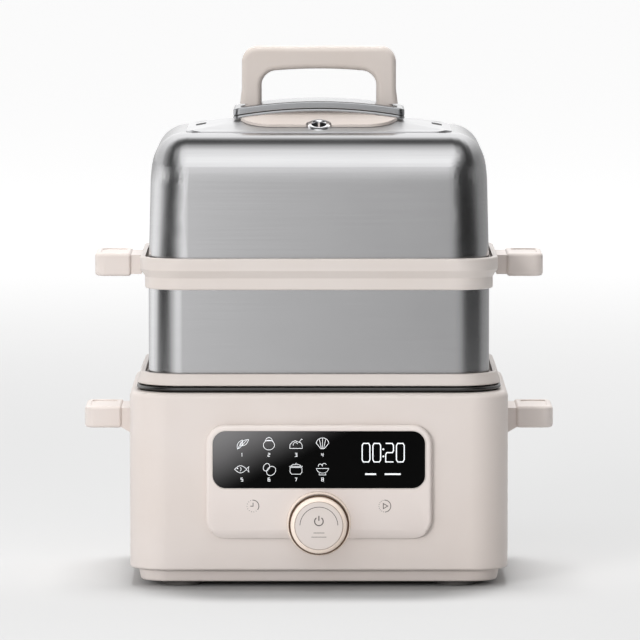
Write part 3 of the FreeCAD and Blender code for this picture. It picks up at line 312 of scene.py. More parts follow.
def bowed(work, levels, inset, even):
    for level in levels:
        parts = work.verts[:] + work.edges[:] + work.faces[:]
        bmesh.ops.bisect_plane(work, geom=parts, dist=1e-6, plane_co=(0, 0, level), plane_no=(0, 0, 1))
    work.normal_update()
    moves = []
    for vert in work.verts:
        way = vert.normal.xy
        if way.length < 0.05 or inset(vert.co.z) == 0:
            continue
        if way.dot(vert.co.xy) < 0:
            way = -way
        if even:
            way.normalize()
        moves.append((vert, way * inset(vert.co.z)))
    for vert, way in moves:
        vert.co.x -= way.x
        vert.co.y -= way.y


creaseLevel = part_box("lid_shell")[1][2] - shoulder["crown"] * mm
beadEnds = [corner[2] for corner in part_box("base_gasket")]


def shoulderInset(z):
    start = creaseLevel - shoulder["round"] * mm
    run, fade, slope = shoulder["run"] * mm, shoulder["fade"] * mm, shoulder["slope"]
    if z < start - run or z > creaseLevel - 0.4 * mm:
        return 0
    if z < start:
        return slope * (z - start + run) ** 2 / run / 2
    share = min(1.0, (z - start) / fade)
    return slope * run / 2 + slope * fade * (share - share * share / 2)


def beadInset(z):
    low, high = beadEnds
    return bead["depth"] * mm * abs((2 * z - low - high) / (high - low)) ** bead["power"]


def weldedCopy(mesh):
    work = bmesh.new()
    work.from_mesh(mesh)
    bmesh.ops.remove_doubles(work, verts=work.verts, dist=1e-6)
    return work


def smoothCopy(node, material):
    mesh = nodes[node].data.copy()
    work = weldedCopy(mesh)
    if node == "lid_shell":
        start = creaseLevel - shoulder["round"] * mm
        bowed(work, [start - step * mm for step in range(0, shoulder["run"] + 1, 2)], shoulderInset, False)
    if node == "base_gasket":
        low, high = beadEnds
        bowed(work, [low + (high - low) * step / 12 for step in range(1, 12)], beadInset, True)
    work.to_mesh(mesh)
    work.free()
    if "custom_normal" in mesh.attributes:
        mesh.attributes.remove(mesh.attributes["custom_normal"])
    piece = newPiece(node + "Skin", mesh, material)
    mesh.polygons.foreach_set("material_index", [0] * len(mesh.polygons))
    smoothed(piece)
    stands(piece, node)
    return piece


# the box of each separate solid of a node
def islands(node):
    work = weldedCopy(nodes[node].data)
    seen, boxes = set(), []
    for start in work.verts:
        if start in seen:
            continue
        seen.add(start)
        group, front = [], [start]
        while front:
            vert = front.pop()
            group.append(vert.co.copy())
            for edge in vert.link_edges:
                other = edge.other_vert(vert)
                if other not in seen:
                    seen.add(other)
                    front.append(other)
        boxes.append([Vector([pick(axis) for axis in zip(*group)]) for pick in (min, max)])
    work.free()
    return boxes


def meshFrom(name, work, recalc=True):
    if recalc:
        bmesh.ops.remove_doubles(work, verts=work.verts, dist=1e-7)
        bmesh.ops.recalc_face_normals(work, faces=work.faces)
    mesh = bpy.data.meshes.new(name)
    work.to_mesh(mesh)
    work.free()
    return mesh


def made(name, work, *materials):
    return newPiece(name, meshFrom(name, work), *materials)


# turns a list of (radius, height) in mm round an axis that points out of the face
def turned(profile, steps, centre=(0, 0, 0), outward=(0, 0, 1)):
    work = bmesh.new()
    axis = Vector(outward).normalized()
    side = axis.orthogonal().normalized()
    up = axis.cross(side)
    rings = []
    for radius, height in profile:
        foot = Vector(centre) + axis * (height * mm)
        ring = []
        for k in range(steps if radius else 1):
            angle = 2 * math.pi * k / steps
            way = side * math.cos(angle) + up * math.sin(angle)
            ring.append(work.verts.new(foot + way * (radius * mm)))
        rings.append(ring)
    for below, above in zip(rings, rings[1:]):
        for k in range(steps):
            n = (k + 1) % steps
            corners = dict.fromkeys((below[k % len(below)], below[n % len(below)],
                                     above[n % len(above)], above[k % len(above)]))
            if len(corners) > 2:
                work.faces.new(list(corners))
    return work


def ringPoints(width, depth, corner, steps=8, runs=1):
    bends = []
    for turn, (sideX, sideY) in enumerate(((1, 1), (-1, 1), (-1, -1), (1, -1))):
        bend = []
        for k in range(steps + 1):
            angle = math.radians(90 * turn + 90 * k / steps)
            bend.append((sideX * (width / 2 - corner) + corner * math.cos(angle),
                         sideY * (depth / 2 - corner) + corner * math.sin(angle)))
        bends.append(bend)
    points = []
    for bend, after in zip(bends, bends[1:] + bends[:1]):
        points += bend
        (x, y), (goalX, goalY) = bend[-1], after[0]
        points += [(x + (goalX - x) * k / runs, y + (goalY - y) * k / runs) for k in range(1, runs)]
    return points


def bridged(work, rings):
    for below, above in zip(rings, rings[1:]):
        count = len(below)
        for k in range(count):
            n = (k + 1) % count
            work.faces.new((below[k], below[n], above[n], above[k]))


# camera, floor and light

def aimed(holder, place, aim):
    holder.location = place
    holder.rotation_euler = (Vector(aim) - Vector(place)).to_track_quat("-Z", "Y").to_euler()
    scene.collection.objects.link(holder)


camera = {"place": (0.00085, -5.099, 0.611), "aim": (0.00085, -0.099, 0.2084), "lens": 365.4, "wide": 36.0,
          "far": 80.0}
eye = bpy.data.cameras.new("photoCamera")
eye.lens = camera["lens"]
eye.sensor_width = camera["wide"]
eye.clip_end = camera["far"]
scene.camera = bpy.data.objects.new("photoCamera", eye)
aimed(scene.camera, camera["place"], camera["aim"])
scene.view_settings.view_transform = "Standard"
scene.cycles.use_denoising = True

# a floor that grows paler and glows away from the object, with a painted soft shadow in front of the base
black = (0, 0, 0, 1)
floorLook = {
    "radius": 26.0, "near": rgb(201, 201, 201), "far": rgb(250, 250, 250), "start": 0.4, "end": 4.2,
    "glow": (0.48, 0.48, 0.48, 1), "halfWide": 0.060, "halfDeep": 0.020, "corner": 0.030, "front": -0.095,
    "reach": 0.06, "paintedShadow": 0.38,
}


def buildFloor():
    look = floorLook
    work = bmesh.new()
    bmesh.ops.create_circle(work, cap_ends=True, segments=96, radius=look["radius"])
    mesh = meshFrom("studioFloor", work, False)
    material, tree, shader = newMaterial("studioFloor", {
        "Roughness": 0.75, "Specular IOR Level": 0.0, "Emission Strength": 1.0})
    spot, place = placeOn(tree)
    fromMiddle = add(tree, "VectorMath", operation="LENGTH")
    wire(tree, spot, fromMiddle.inputs[0])
    share = spread(tree, fromMiddle.outputs["Value"], look["start"], look["end"], 0.0, 1.0, "SMOOTHSTEP")
    tone = blend(tree, share, look["near"], look["far"])
    # painted shadow: a rounded patch in front of the base, darkest inside and fading out over its reach
    ahead = math2(tree, "SUBTRACT", place["Y"], look["front"])
    squares = []
    for value, half in ((place["X"], look["halfWide"]), (ahead, look["halfDeep"])):
        past = math2(tree, "SUBTRACT", math2(tree, "ABSOLUTE", value), half)
        past = math2(tree, "MAXIMUM", past, 0.0)
        squares.append(math2(tree, "MULTIPLY", past, past))
    off = math2(tree, "SUBTRACT", math2(tree, "SQRT", math2(tree, "ADD", *squares)), look["corner"])
    paintedShadow = spread(tree, off, 0.0, look["reach"], look["paintedShadow"], 0.0, "SMOOTHSTEP")
    wire(tree, blend(tree, paintedShadow, tone, black), shader.inputs["Base Color"])
    wire(tree, blend(tree, share, black, look["glow"]), shader.inputs["Emission Color"])
    floor = newPiece("studioFloor", mesh, material)


# the room is drawn by the angle off the line from the front, with its own rings to the left, right and top,
# so that rounded steel shows a pale edge and then a dark one
room = {
    "left": [(0, 0.72), (8, 0.95), (13, 1.35), (20, 1.40), (32, 0.95), (41, 0.50), (50, 0.12), (59, 0.05),
             (69, 0.09), (82, 0.45), (98, 1.05), (125, 1.10), (180, 1.00)],
    "right": [(0, 0.70), (8, 0.62), (16, 0.50), (29, 0.18), (41, 0.05), (76, 0.05), (88, 0.24), (102, 0.40),
              (125, 0.50), (180, 0.60)],
    "top": [(0, 0.70), (5, 0.80), (9, 1.15), (14, 1.70), (20, 1.95), (24, 2.00), (42, 1.60), (52, 0.90),
            (61, 0.18), (70, 0.07), (82, 0.25), (90, 1.10), (98, 1.75), (112, 1.65), (130, 1.50),
            (180, 1.40)],
    "turn": (16, 78), "rise": (20, 90, 24), "seam": 0.06, "peak": 2.4, "mirrored": 1.0, "soft": 0.6,
    "pale": (0.95, 0.95, 0.95, 1),
}


def ringRamp(tree, look, side, angle):
    ramp = add(tree, "ValToRGB")
    ramp.color_ramp.interpolation = "EASE"
    marks = ramp.color_ramp.elements
    while len(marks) < len(look[side]):
        marks.new(0.5)
    for mark, (degrees, value) in zip(marks, look[side]):
        mark.position = degrees / 180
        mark.color = (value / look["peak"],) * 3 + (1,)
    wire(tree, angle, ramp.inputs["Fac"])
    return ramp.outputs["Color"]


def buildRoom():
    world = bpy.data.worlds.new("softRoom")
    scene.world = world
    world.use_nodes = True
    tree = world.node_tree
    tree.nodes.clear()
    way = placeOn(tree, "Generated")[1]
    offFront = math2(tree, "ARCCOSINE", math2(tree, "MULTIPLY", way["Y"], -1.0))
    around = math2(tree, "ARCTAN2", math2(tree, "ABSOLUTE", way["X"]), way["Z"])
    low, high = (math.radians(value) for value in room["turn"])
    toSide = spread(tree, around, low, high, 0.0, 1.0, "SMOOTHSTEP")
    start, end, rise = (math.radians(value) for value in room["rise"])
    step = spread(tree, offFront, start, end, 0.0, rise, "SMOOTHSTEP")
    step = math2(tree, "MULTIPLY", step, math2(tree, "SUBTRACT", 1.0, toSide))
    angle = math2(tree, "DIVIDE", math2(tree, "SUBTRACT", offFront, step), math.pi)
    rings = {side: ringRamp(tree, room, side, angle) for side in ("left", "right", "top")}
    toRight = spread(tree, way["X"], -room["seam"], room["seam"], 0.0, 1.0, "SMOOTHSTEP")
    level = blend(tree, toRight, rings["left"], rings["right"])
    level = blend(tree, toSide, rings["top"], level)
    path = add(tree, "LightPath")
    strength = spread(tree, path.outputs["Is Glossy Ray"], 0.0, 1.0, room["peak"] * room["soft"],
                      room["peak"] * room["mirrored"])
    lit = add(tree, "Background")
    wire(tree, level, lit.inputs["Color"])
    wire(tree, strength, lit.inputs["Strength"])
    seen = add(tree, "Background", {"Color": room["pale"]})
    pick = fed(tree, "MixShader", (path.outputs["Is Camera Ray"], lit.outputs[0], seen.outputs[0]))
    wire(tree, pick, add(tree, "OutputWorld").inputs[0])


softBoxes = [
    {"name": "keyBox", "place": (-0.9, -1.7, 2.7), "aim": (0, 0, 0.2), "size": (1.0, 1.0), "power": 5.0},
    {"name": "topBox", "place": (0.0, 0.3, 2.6), "aim": (0, 0, 0.1), "size": (0.9, 0.7), "power": 54.0},
    {"name": "leftBox", "place": (-1.8, -1.4, 0.8), "aim": (0, 0, 0.2), "size": (1.2, 1.2), "power": 7.0},
    {"name": "frontBox", "place": (-1.6, -2.9, 0.8), "aim": (0, 0, 0.05), "size": (1.0, 0.8), "power": 46.0},
    {"name": "rearBox", "place": (1.9, 1.2, 1.0), "aim": (0, 0, 0.2), "size": (1.0, 1.0), "power": 6.5},
]


def buildSoftBoxes():
    for box in softBoxes:
        lamp = bpy.data.lights.new(box["name"], "AREA")
        lamp.shape = "RECTANGLE"
        lamp.size, lamp.size_y = box["size"]
        lamp.energy = box["power"]
        holder = bpy.data.objects.new(box["name"], lamp)
        aimed(holder, box["place"], box["aim"])
        holder.visible_camera = False
        holder.visible_glossy = False


# what upright steel mirrors: a band round the object, drawn by the angle off the front; it shows nowhere else
band = {
    "radius": 1.3, "tall": 0.46, "peak": 2.2, "seam": 0.01,
    "lean": 0.8, "leanTurn": (0.06, 0.25), "leanFrom": 0.210, "leanLeast": 0.026,
    "left": [(0, 0.80), (4, 0.93), (8, 1.10), (13, 1.60), (26, 1.70), (40, 1.05), (50, 0.45), (60, 0.06),
             (70, 0.00), (80, 0.02), (90, 0.38), (100, 1.40), (120, 1.75), (145, 1.10), (162, 0.70),
             (180, 0.70)],
    "right": [(0, 0.80), (4, 0.68), (8, 0.63), (16, 0.64), (26, 0.52), (37, 0.16), (48, 0.02), (86, 0.03),
              (96, 0.24), (108, 0.42), (127, 0.48), (160, 0.50), (180, 0.60)],
}


def buildBand():
    work = bmesh.new()
    bmesh.ops.create_cone(work, cap_ends=False, segments=128, radius1=band["radius"], radius2=band["radius"],
                          depth=band["tall"])
    bmesh.ops.translate(work, verts=work.verts, vec=(0, 0, band["tall"] / 2))
    material, tree, shader = newMaterial("mirroredBand", {
        "Base Color": black, "Roughness": 1.0, "Specular IOR Level": 0.0, "Emission Strength": band["peak"]})
    place = placeOn(tree)[1]
    aside, ahead = math2(tree, "ABSOLUTE", place["X"]), math2(tree, "MULTIPLY", place["Y"], -1.0)
    angle = math2(tree, "DIVIDE", math2(tree, "ARCTAN2", aside, ahead), math.pi)
    lean = spread(tree, angle, *band["leanTurn"], 0.0, band["lean"])
    rise = math2(tree, "MAXIMUM", math2(tree, "SUBTRACT", place["Z"], band["leanFrom"]), 0.0)
    rise = math2(tree, "ADD", rise, band["leanLeast"])
    angle = math2(tree, "ADD", angle, math2(tree, "MULTIPLY", lean, rise))
    toRight = spread(tree, place["X"], -band["seam"], band["seam"], 0.0, 1.0, "SMOOTHSTEP")
    sides = [ringRamp(tree, band, side, angle) for side in ("left", "right")]
    wire(tree, blend(tree, toRight, *sides), shader.inputs["Emission Color"])
    piece = made("mirroredBand", work, material)
    piece.visible_camera = False
    piece.visible_diffuse = False
    piece.visible_shadow = False


buildFloor()
buildRoom()
buildSoftBoxes()
buildBand()
print("camera, floor and light ready")


# skins over the CAD nodes

skins = {
    "base_housing": cream, "bottom_cover": cream, "base_handle_left": cream, "base_handle_right": cream,
    "base_gasket": beadRubber, "control_panel": litPanelCream, "display_glass": glass, "pot_ring": paleRim,
    "tier_ring": paleRim, "tier_handle_left": cream, "tier_handle_right": cream, "steamer_shell": steel,
    "lid_shell": steel, "handle_base": shadedHandleCream, "lid_handle": shadedHandleCream, "inner_pot": wellSteel,
    "steam_tray": wellSteel, "pot_well": wellSteel, "heating_plate": castMetal, "sensor_cap": castMetal,
    "power_inlet": blackMoulding, "knob_core": cream, "sensor_spring": screwMetal, "inlet_pins": brass,
    "heating_element": tubeMetal,
}
inside = {
    "heater_posts": insulator, "thermal_fuse": insulator, "display_module": blackMoulding,
    "control_board": laminate, "touch_springs": brass, "rotary_encoder": blackMoulding,
    "encoder_shaft": screwMetal, "power_board": laminate, "handle_screws": screwMetal,
}
for node, material in skins.items():
    skin = smoothCopy(node, material)
    if node == "knob_core" or "_handle_" in node:
        skin.visible_shadow = False  # the knob and the side grips leave no shade on panel and floor
    if node == "lid_shell":
        skin.data.materials.append(litCrownSteel)
        for face in skin.data.polygons:
            face.material_index = int(face.center.z > creaseLevel + 0.1 * mm)  # the crown is duller, and its lighter tint is painted light on the top
for node, material in inside.items():
    held = nodes[node].data.materials
    held.clear()
    held.append(material)
print("skins made,", len(skins))


# steam guard: an arched plate whose edge carries a groove, with the groove's faces in painted shade

guard = {"width": 134.0, "depth": 66.0, "corner": 5.0, "top": 373.7, "arch": 6.0, "edge": 1.1, "face": 5.2,
         "groove": 0.9, "grooveDepth": 0.9, "lip": 1.9, "sheet": 1.6, "shift": 12.75}


def buildGuard():
    half, edge, deep = guard["width"] / 2, guard["edge"], guard["grooveDepth"]
    faceEnd, wall = guard["face"], guard["sheet"]
    grooveEnd = faceEnd + guard["groove"]
    foot = grooveEnd + guard["lip"]
    inner = wall + deep
    work = bmesh.new()

    def crest(x):
        return guard["top"] - guard["arch"] * (x / half) ** 2
    rings = []
    for inset, drop, squeeze in (
            (edge, 0, 0), (edge, 0, 0.5), (edge + 0.4, 0, 1), (edge, 0, 1), (edge * 0.45, edge * 0.18, 1),
            (edge * 0.12, edge * 0.5, 1), (0, edge, 1), (0, faceEnd - 0.35, 1), (0.2, faceEnd, 1),
            (deep, faceEnd + 0.1, 1), (deep, grooveEnd - 0.1, 1), (0.2, grooveEnd, 1),
            (0, grooveEnd + 0.3, 1), (0, foot - 0.5, 1), (0.4, foot, 1), (inner - 0.2, foot, 1),
            (inner, foot - 0.3, 1), (inner, wall, 1), (inner, wall, 0.5), (inner, wall, 0)):
        plan = ringPoints(guard["width"] - 2 * inset, guard["depth"] - 2 * inset,
                          max(guard["corner"] - inset, 0.6), 6, 24)
        rings.append([work.verts.new((x * mm, (y * squeeze + guard["shift"]) * mm, (crest(x) - drop) * mm))
                      for x, y in plan])
    bridged(work, rings)
    bmesh.ops.remove_doubles(work, verts=work.verts, dist=1e-7)
    bmesh.ops.dissolve_degenerate(work, edges=work.edges, dist=1e-7)
    piece = made("steamGuard", work, guardSteel, grooveShadePaint)
    smoothed(piece, 34.0)
    for face in piece.data.polygons:
        x, y, z = face.center
        drop = crest(x / mm) - z / mm
        outward = x * face.normal.x + (y - guard["shift"] * mm) * face.normal.y > 0
        # the groove's faces take the dark material: painted shade in the groove
        if faceEnd - 0.1 < drop < grooveEnd + 0.1 and outward:
            face.material_index = 1
    piece.visible_shadow = False  # the lamps reach the saddle under it
    stands(piece, "steam_guard")


buildGuard()


# two dark slots near the ends of the crown: thin pieces on the crown's surface in painted shade, where the
# vents look dark
slots = {"out": 93.0, "back": 25.0, "wide": 8.0, "deep": 26.0, "lift": 0.12, "sunk": 0.05, "steps": 10}


def buildCrownSlots():
    work = bmesh.new()
    work.from_mesh(nodes["lid_shell"].data)
    crown = BVHTree.FromBMesh(work)
    work.clear()
    for side in (-1, 1):
        half, straight = slots["wide"] / 2, (slots["deep"] - slots["wide"]) / 2
        outline = []
        for end in (1, -1):
            for k in range(slots["steps"] + 1):
                angle = math.pi * k / slots["steps"]
                outline.append((side * slots["out"] + half * end * math.cos(angle),
                                slots["back"] + end * (straight + half * math.sin(angle))))
        rings = []
        for lift in (slots["lift"], -slots["sunk"]):
            ring = []
            for x, y in outline:
                hit = crown.ray_cast((x * mm, y * mm, 1.0), (0, 0, -1))[0]
                ring.append(work.verts.new((x * mm, y * mm, hit.z + lift * mm)))
            rings.append(ring)
        bridged(work, rings)
        work.faces.new(rings[0])
        work.faces.new(rings[1][::-1])
    adds(made("crownSlots", work, paintedHoleShade), bodyOf["lid_shell"])


buildCrownSlots()
print("guard made")


# geometry groups, with the sockets that a modifier sets

def geometryGroup(name, inputs):
    tree = bpy.data.node_groups.new(name, "GeometryNodeTree")
    sockets = {label: openSocket(tree, label, kind).identifier for label, kind in inputs}
    openSocket(tree, "Geometry", "Geometry", "OUTPUT")
    return tree, sockets, tree.nodes.new("NodeGroupInput").outputs


def linked(tree, kind, **sources):
    node = tree.nodes.new("GeometryNode" + kind)
    for label, source in sources.items():
        wire(tree, source, node.inputs[label])
    return node


def patterned(piece, group, settings):
    pattern = piece.modifiers.new("pattern", "NODES")
    pattern.node_group, sockets = group
    for label, value in settings.items():
        pattern[sockets[label]] = value
    settle(piece)


# knob: pale skirt, knurled band and a dished cap

knob = {"level": 51.5, "shift": 12.75, "bore": 22.0, "skirt": 24.8, "skirtDeep": 6.0, "band": 22.9,
        "cap": 21.8, "capFront": 139.4, "rim": 19.0, "dish": 9.0, "teeth": 150, "tooth": (0.75, 0.46),
        "toothRadius": 23.0, "toothShort": 1.4, "steps": 128}


def buildKnurlTree():
    tree, sockets, asked = geometryGroup("knurlTeeth", (
        ("Geometry", "Geometry"), ("Teeth", "Int"), ("Radius", "Float"), ("Tooth Size", "Vector"),
        ("Middle", "Vector"), ("Finish", "Material")))
    circle = linked(tree, "MeshCircle", Vertices=asked["Teeth"], Radius=asked["Radius"])
    tooth = linked(tree, "MeshCube", Size=asked["Tooth Size"])
    place = linked(tree, "InputPosition")
    turn = tree.nodes.new("FunctionNodeAlignRotationToVector")
    turn.axis = "X"
    wire(tree, place.outputs[0], turn.inputs["Vector"])
    spots = linked(tree, "InstanceOnPoints", Points=circle.outputs["Mesh"],
                   Instance=tooth.outputs["Mesh"], Rotation=turn.outputs[0])
    real = linked(tree, "RealizeInstances", Geometry=spots.outputs[0])
    stand = linked(tree, "Transform", Geometry=real.outputs[0], Translation=asked["Middle"])
    stand.inputs["Rotation"].default_value = (math.pi / 2, 0, 0)
    both = linked(tree, "JoinGeometry", Geometry=asked["Geometry"])
    wire(tree, stand.outputs[0], both.inputs[0])
    finish = linked(tree, "SetMaterial", Geometry=both.outputs[0], Material=asked["Finish"])
    wire(tree, finish.outputs[0], tree.nodes.new("NodeGroupOutput").inputs[0])
    return tree, sockets


def knobPiece(name, profile, *materials):
    centre = (0, knob["shift"] * mm, knob["level"] * mm)
    piece = made(name, turned(profile, knob["steps"], centre, (0, -1, 0)), *materials)
    piece.visible_shadow = False  # soft light all round, with no cast shadow on the panel
    return piece


def buildKnob():
    back, front = (knob["shift"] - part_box("knob_ring")[end][1] / mm for end in (1, 0))
    bore, edge, end = knob["bore"], knob["skirt"], back + knob["skirtDeep"]
    skirt = knobPiece("knobSkirt", [
        (bore, back), (edge - 0.4, back), (edge, back + 0.4), (edge, end - 1.0), (edge - 0.3, end - 0.3),
        (edge - 0.9, end), (bore, end), (bore, back)], peachAndEdgeHighlight)
    adds(smoothed(skirt), "knob")

    edge, start = knob["band"], end - 0.5
    grip = knobPiece("knobBand", [
        (bore, start), (edge - 0.2, start), (edge, start + 0.3), (edge, front - 0.6),
        (edge - 0.3, front - 0.1), (edge - 0.8, front), (bore, front), (bore, start)], bronze)
    tooth = (*knob["tooth"], front - start - knob["toothShort"])
    patterned(grip, buildKnurlTree(), {
        "Teeth": knob["teeth"], "Radius": knob["toothRadius"] * mm, "Finish": bronze,
        "Tooth Size": tuple(side * mm for side in tooth),
        "Middle": (0, (knob["shift"] - (start + front) / 2) * mm, knob["level"] * mm)})
    stands(smoothed(grip, 25.0), "knob_ring")

    edge, front = knob["cap"], knob["capFront"]
    back = knob["shift"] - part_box("knob_cap")[1][1] / mm
    cap = knobPiece("knobCap", [
        (0, back), (edge - 0.4, back), (edge, back + 0.4), (edge, front - 3.0), (edge - 0.3, front - 2.1),
        (edge - 0.9, front - 1.5), (edge - 2.5, front - 0.5), (edge - 2.9, front - 0.35),
        (edge - 3.1, front - 0.75), (edge - 3.45, front - 0.75), (edge - 3.6, front - 0.1),
        (edge - 3.9, front), (knob["dish"], front), (0, front)], cream, peachAndEdgeHighlight)
    # the cap's rounded edge takes the lighter peach: a painted highlight round the cap
    for face in cap.data.polygons:
        reach = math.hypot(face.center.x / mm, face.center.z / mm - knob["level"])
        face.material_index = int(reach > knob["rim"])
    stands(smoothed(cap), "knob_cap")


buildKnob()
print("knob made")


# printed marks, and one line of painted shade: thin raised strokes on a face that looks to the front

class Marks:
    def __init__(self, face, thick=0.06, sunk=0.02):
        self.work = bmesh.new()
        self.front = (face - thick) * mm
        self.back = (face + sunk) * mm

    def plate(self, corners):
        front = [self.work.verts.new((x * mm, self.front, z * mm)) for x, z in corners]
        back = [self.work.verts.new((x * mm, self.back, z * mm)) for x, z in corners]
        self.work.faces.new(front)
        self.work.faces.new(back[::-1])
        bridged(self.work, [back, front])

    def stroke(self, points, width, closed=False):
        count = len(points)
        edges = []
        for k in range(count):
            here = Vector(points[k])
            ways = []
            if k > 0 or closed:
                ways.append((here - Vector(points[k - 1])).normalized())
            if k < count - 1 or closed:
                ways.append((Vector(points[(k + 1) % count]) - here).normalized())
            mean = sum(ways, Vector((0, 0))).normalized()
            side = Vector((-mean.y, mean.x))
            reach = width / 2 / max(abs(mean.dot(ways[0])), 0.5)
            edges.append((here + side * reach, here - side * reach))
        for k in range(count if closed else count - 1):
            first, second = edges[k], edges[(k + 1) % count]
            self.plate([first[1], second[1], second[0], first[0]])

    def disc(self, centre, radius, steps=20):
        self.plate(oval(centre, radius, steps=steps))

    def finish(self, name, material, body, slot):  # strokes that touch aren't welded
        bmesh.ops.recalc_face_normals(self.work, faces=self.work.faces)
        adds(newPiece(name, meshFrom(name, self.work, False), material), body)


def tilted(centre, x, z, lean):
    turn = math.radians(lean)
    return (centre[0] + x * math.cos(turn) - z * math.sin(turn),
            centre[1] + x * math.sin(turn) + z * math.cos(turn))


def arc(centre, radius, start, end, steps=14, squash=1.0, lean=0.0):
    points = []
    for k in range(steps + 1):
        angle = math.radians(start + (end - start) * k / steps)
        points.append(tilted(centre, radius * math.cos(angle), radius * squash * math.sin(angle), lean))
    return points


def oval(centre, radius, squash=1.0, lean=0.0, steps=24):
    return arc(centre, radius, 0, 360 - 360 / steps, steps - 1, squash, lean)


def leaf(centre, length, width, lean):
    points = []
    for side in (1, -1):
        for k in range(10):
            share = k / 10 if side == 1 else 1 - k / 10
            bulge = side * width / 2 * math.sin(math.pi * share)
            points.append(tilted(centre, length * (share - 0.5), bulge, lean))
    return points


def pictograms():
    return [
        [("ring", leaf((-1.6, -0.6), 8.0, 3.4, 62)), ("ring", leaf((2.0, 0.8), 8.0, 3.4, 38)),
         ("line", [(-3.2, -4.2), (-0.4, 1.6)]), ("line", [(-2.0, -3.6), (3.6, 2.6)])],
        [("ring", oval((0, -1.0), 4.3, 0.88)), ("line", arc((0, 2.5), 2.5, 0, 180, 10, 0.9)),
         ("line", [(-3.0, 2.3), (3.0, 2.3)]), ("line", [(0, 4.7), (0, 5.3)])],
        [("ring", [(-4.8, -3.6), (4.8, -3.6), (4.8, -1.0), (3.6, 0.9), (1.4, 1.5), (-0.6, 2.4), (-2.8, 1.4),
                   (-4.6, -0.6)]), ("line", [(2.6, 1.4), (4.2, 3.6), (5.0, 3.2)]),
         ("line", arc((-0.4, -0.8), 1.8, 20, 200, 8))],
        [("line", [(-1.4, -3.8), (-4.8, 0.4)] + arc((0, 0.4), 4.8, 180, 0, 16, 0.86) + [(1.4, -3.8)]),
         ("line", [(-1.4, -3.8), (1.4, -3.8)]), ("line", [(-0.9, -3.6), (-2.4, 3.4)]),
         ("line", [(0.9, -3.6), (2.4, 3.4)]), ("line", [(0, -3.6), (0, 4.2)])],
        [("ring", leaf((-1.0, 0), 9.4, 5.6, 0)),
         ("line", [(3.4, 0.2), (5.4, 2.2), (5.0, 0), (5.4, -2.2), (3.4, -0.2)]),
         ("dot", (-3.4, 0.7)), ("line", arc((-2.6, 0), 2.0, -50, 50, 6))],
        [("ring", oval((-1.9, 1.6), 3.1, 0.74, 62)), ("ring", oval((1.7, -1.3), 3.9, 0.80, 48))],
        [("ring", [(-4.6, 1.4), (4.6, 1.4), (4.6, -2.2), (3.4, -3.8), (-3.4, -3.8), (-4.6, -2.2)]),
         ("line", [(-5.2, 2.3), (5.2, 2.3)]), ("line", arc((0, 2.3), 3.8, 180, 0, 10, 0.42)),
         ("line", [(0, 3.9), (0, 4.8)])],
        [("line", arc((0, 0.6), 4.6, 180, 360, 14, 0.78)), ("line", [(-5.0, 0.6), (5.0, 0.6)]),
         ("line", [(-2.4, -3.0), (-2.6, -4.4), (2.6, -4.4), (2.4, -3.0)]),
         ("line", arc((-1.8, 2.6), 1.5, 200, 20, 6)), ("line", arc((1.4, 2.9), 1.7, 200, 20, 6))],
    ]


digitPaths = {
    "0": [[(0, 0.12), (0, 0.88), (0.16, 1), (0.84, 1), (1, 0.88), (1, 0.12), (0.84, 0), (0.16, 0),
           (0, 0.12)]],
    "1": [[(0.3, 0.8), (0.55, 1), (0.55, 0)]],
    "2": [[(0, 1), (0.84, 1), (1, 0.88), (1, 0.6), (0.86, 0.5), (0.14, 0.5), (0, 0.4), (0, 0), (1, 0)]],
    "3": [[(0, 1), (1, 1), (1, 0), (0, 0)], [(0.2, 0.5), (1, 0.5)]],
    "4": [[(0, 1), (0, 0.45), (1, 0.45)], [(0.8, 1), (0.8, 0)]],
    "5": [[(1, 1), (0, 1), (0, 0.55), (1, 0.55), (1, 0), (0, 0)]],
    "6": [[(1, 1), (0, 1), (0, 0), (1, 0), (1, 0.55), (0, 0.55)]],
    "7": [[(0, 1), (1, 1), (0.4, 0)]],
    "8": [[(0, 0), (1, 0), (1, 1), (0, 1), (0, 0)], [(0, 0.5), (1, 0.5)]],
}

display = {
    "columns": (-59.5, -38.6, -17.7, 2.8), "rows": (113.0, 93.2), "numbers": (104.4, 85.2), "line": 0.36,
    "numberSize": (1.5, 2.5), "numberLine": 0.42, "time": "0020", "timeLeft": (33.4, 41.7, 51.6, 59.9),
    "timeBottom": 98.9, "timeSize": (6.0, 14.4), "timeLine": 0.85, "dot": 0.5,
    "colon": 49.8, "colonDot": 0.75, "colonShares": (0.30, 0.68),
    "bars": ((35.7, 44.2), (50.8, 63.2)), "barLevel": 89.4, "barLine": 1.3,
}


def buildDisplay():
    marks = Marks(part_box("display_glass")[0][1] / mm)
    width, height = display["numberSize"]
    for place, icon in enumerate(pictograms()):
        row = place // 4
        x, z, level = display["columns"][place % 4], display["rows"][row], display["numbers"][row]
        for kind, path in icon:
            if kind == "dot":
                marks.disc((x + path[0], z + path[1]), display["dot"])
            else:
                marks.stroke([(x + px, z + pz) for px, pz in path], display["line"], kind == "ring")
        for path in digitPaths[str(place + 1)]:
            marks.stroke([(x + (px - 0.5) * width, level + (pz - 0.5) * height) for px, pz in path],
                         display["numberLine"])
    width, height = display["timeSize"]
    bottom = display["timeBottom"]
    for left, digit in zip(display["timeLeft"], display["time"]):
        for path in digitPaths[digit]:
            marks.stroke([(left + px * width, bottom + pz * height) for px, pz in path], display["timeLine"])
    for share in display["colonShares"]:
        marks.disc((display["colon"], bottom + share * height), display["colonDot"])
    for left, right in display["bars"]:
        marks.stroke([(left, display["barLevel"]), (right, display["barLevel"])], display["barLine"])
    marks.finish("displayMarks", litPrint, "base", "white_insulator")


touch = {"level": 64.6, "clock": (-51.0, -40, 95), "play": (51.0, -90, 95), "radius": 4.6, "line": 0.6,
         "dots": 9}  # each key has its middle and the ends of its unbroken arc


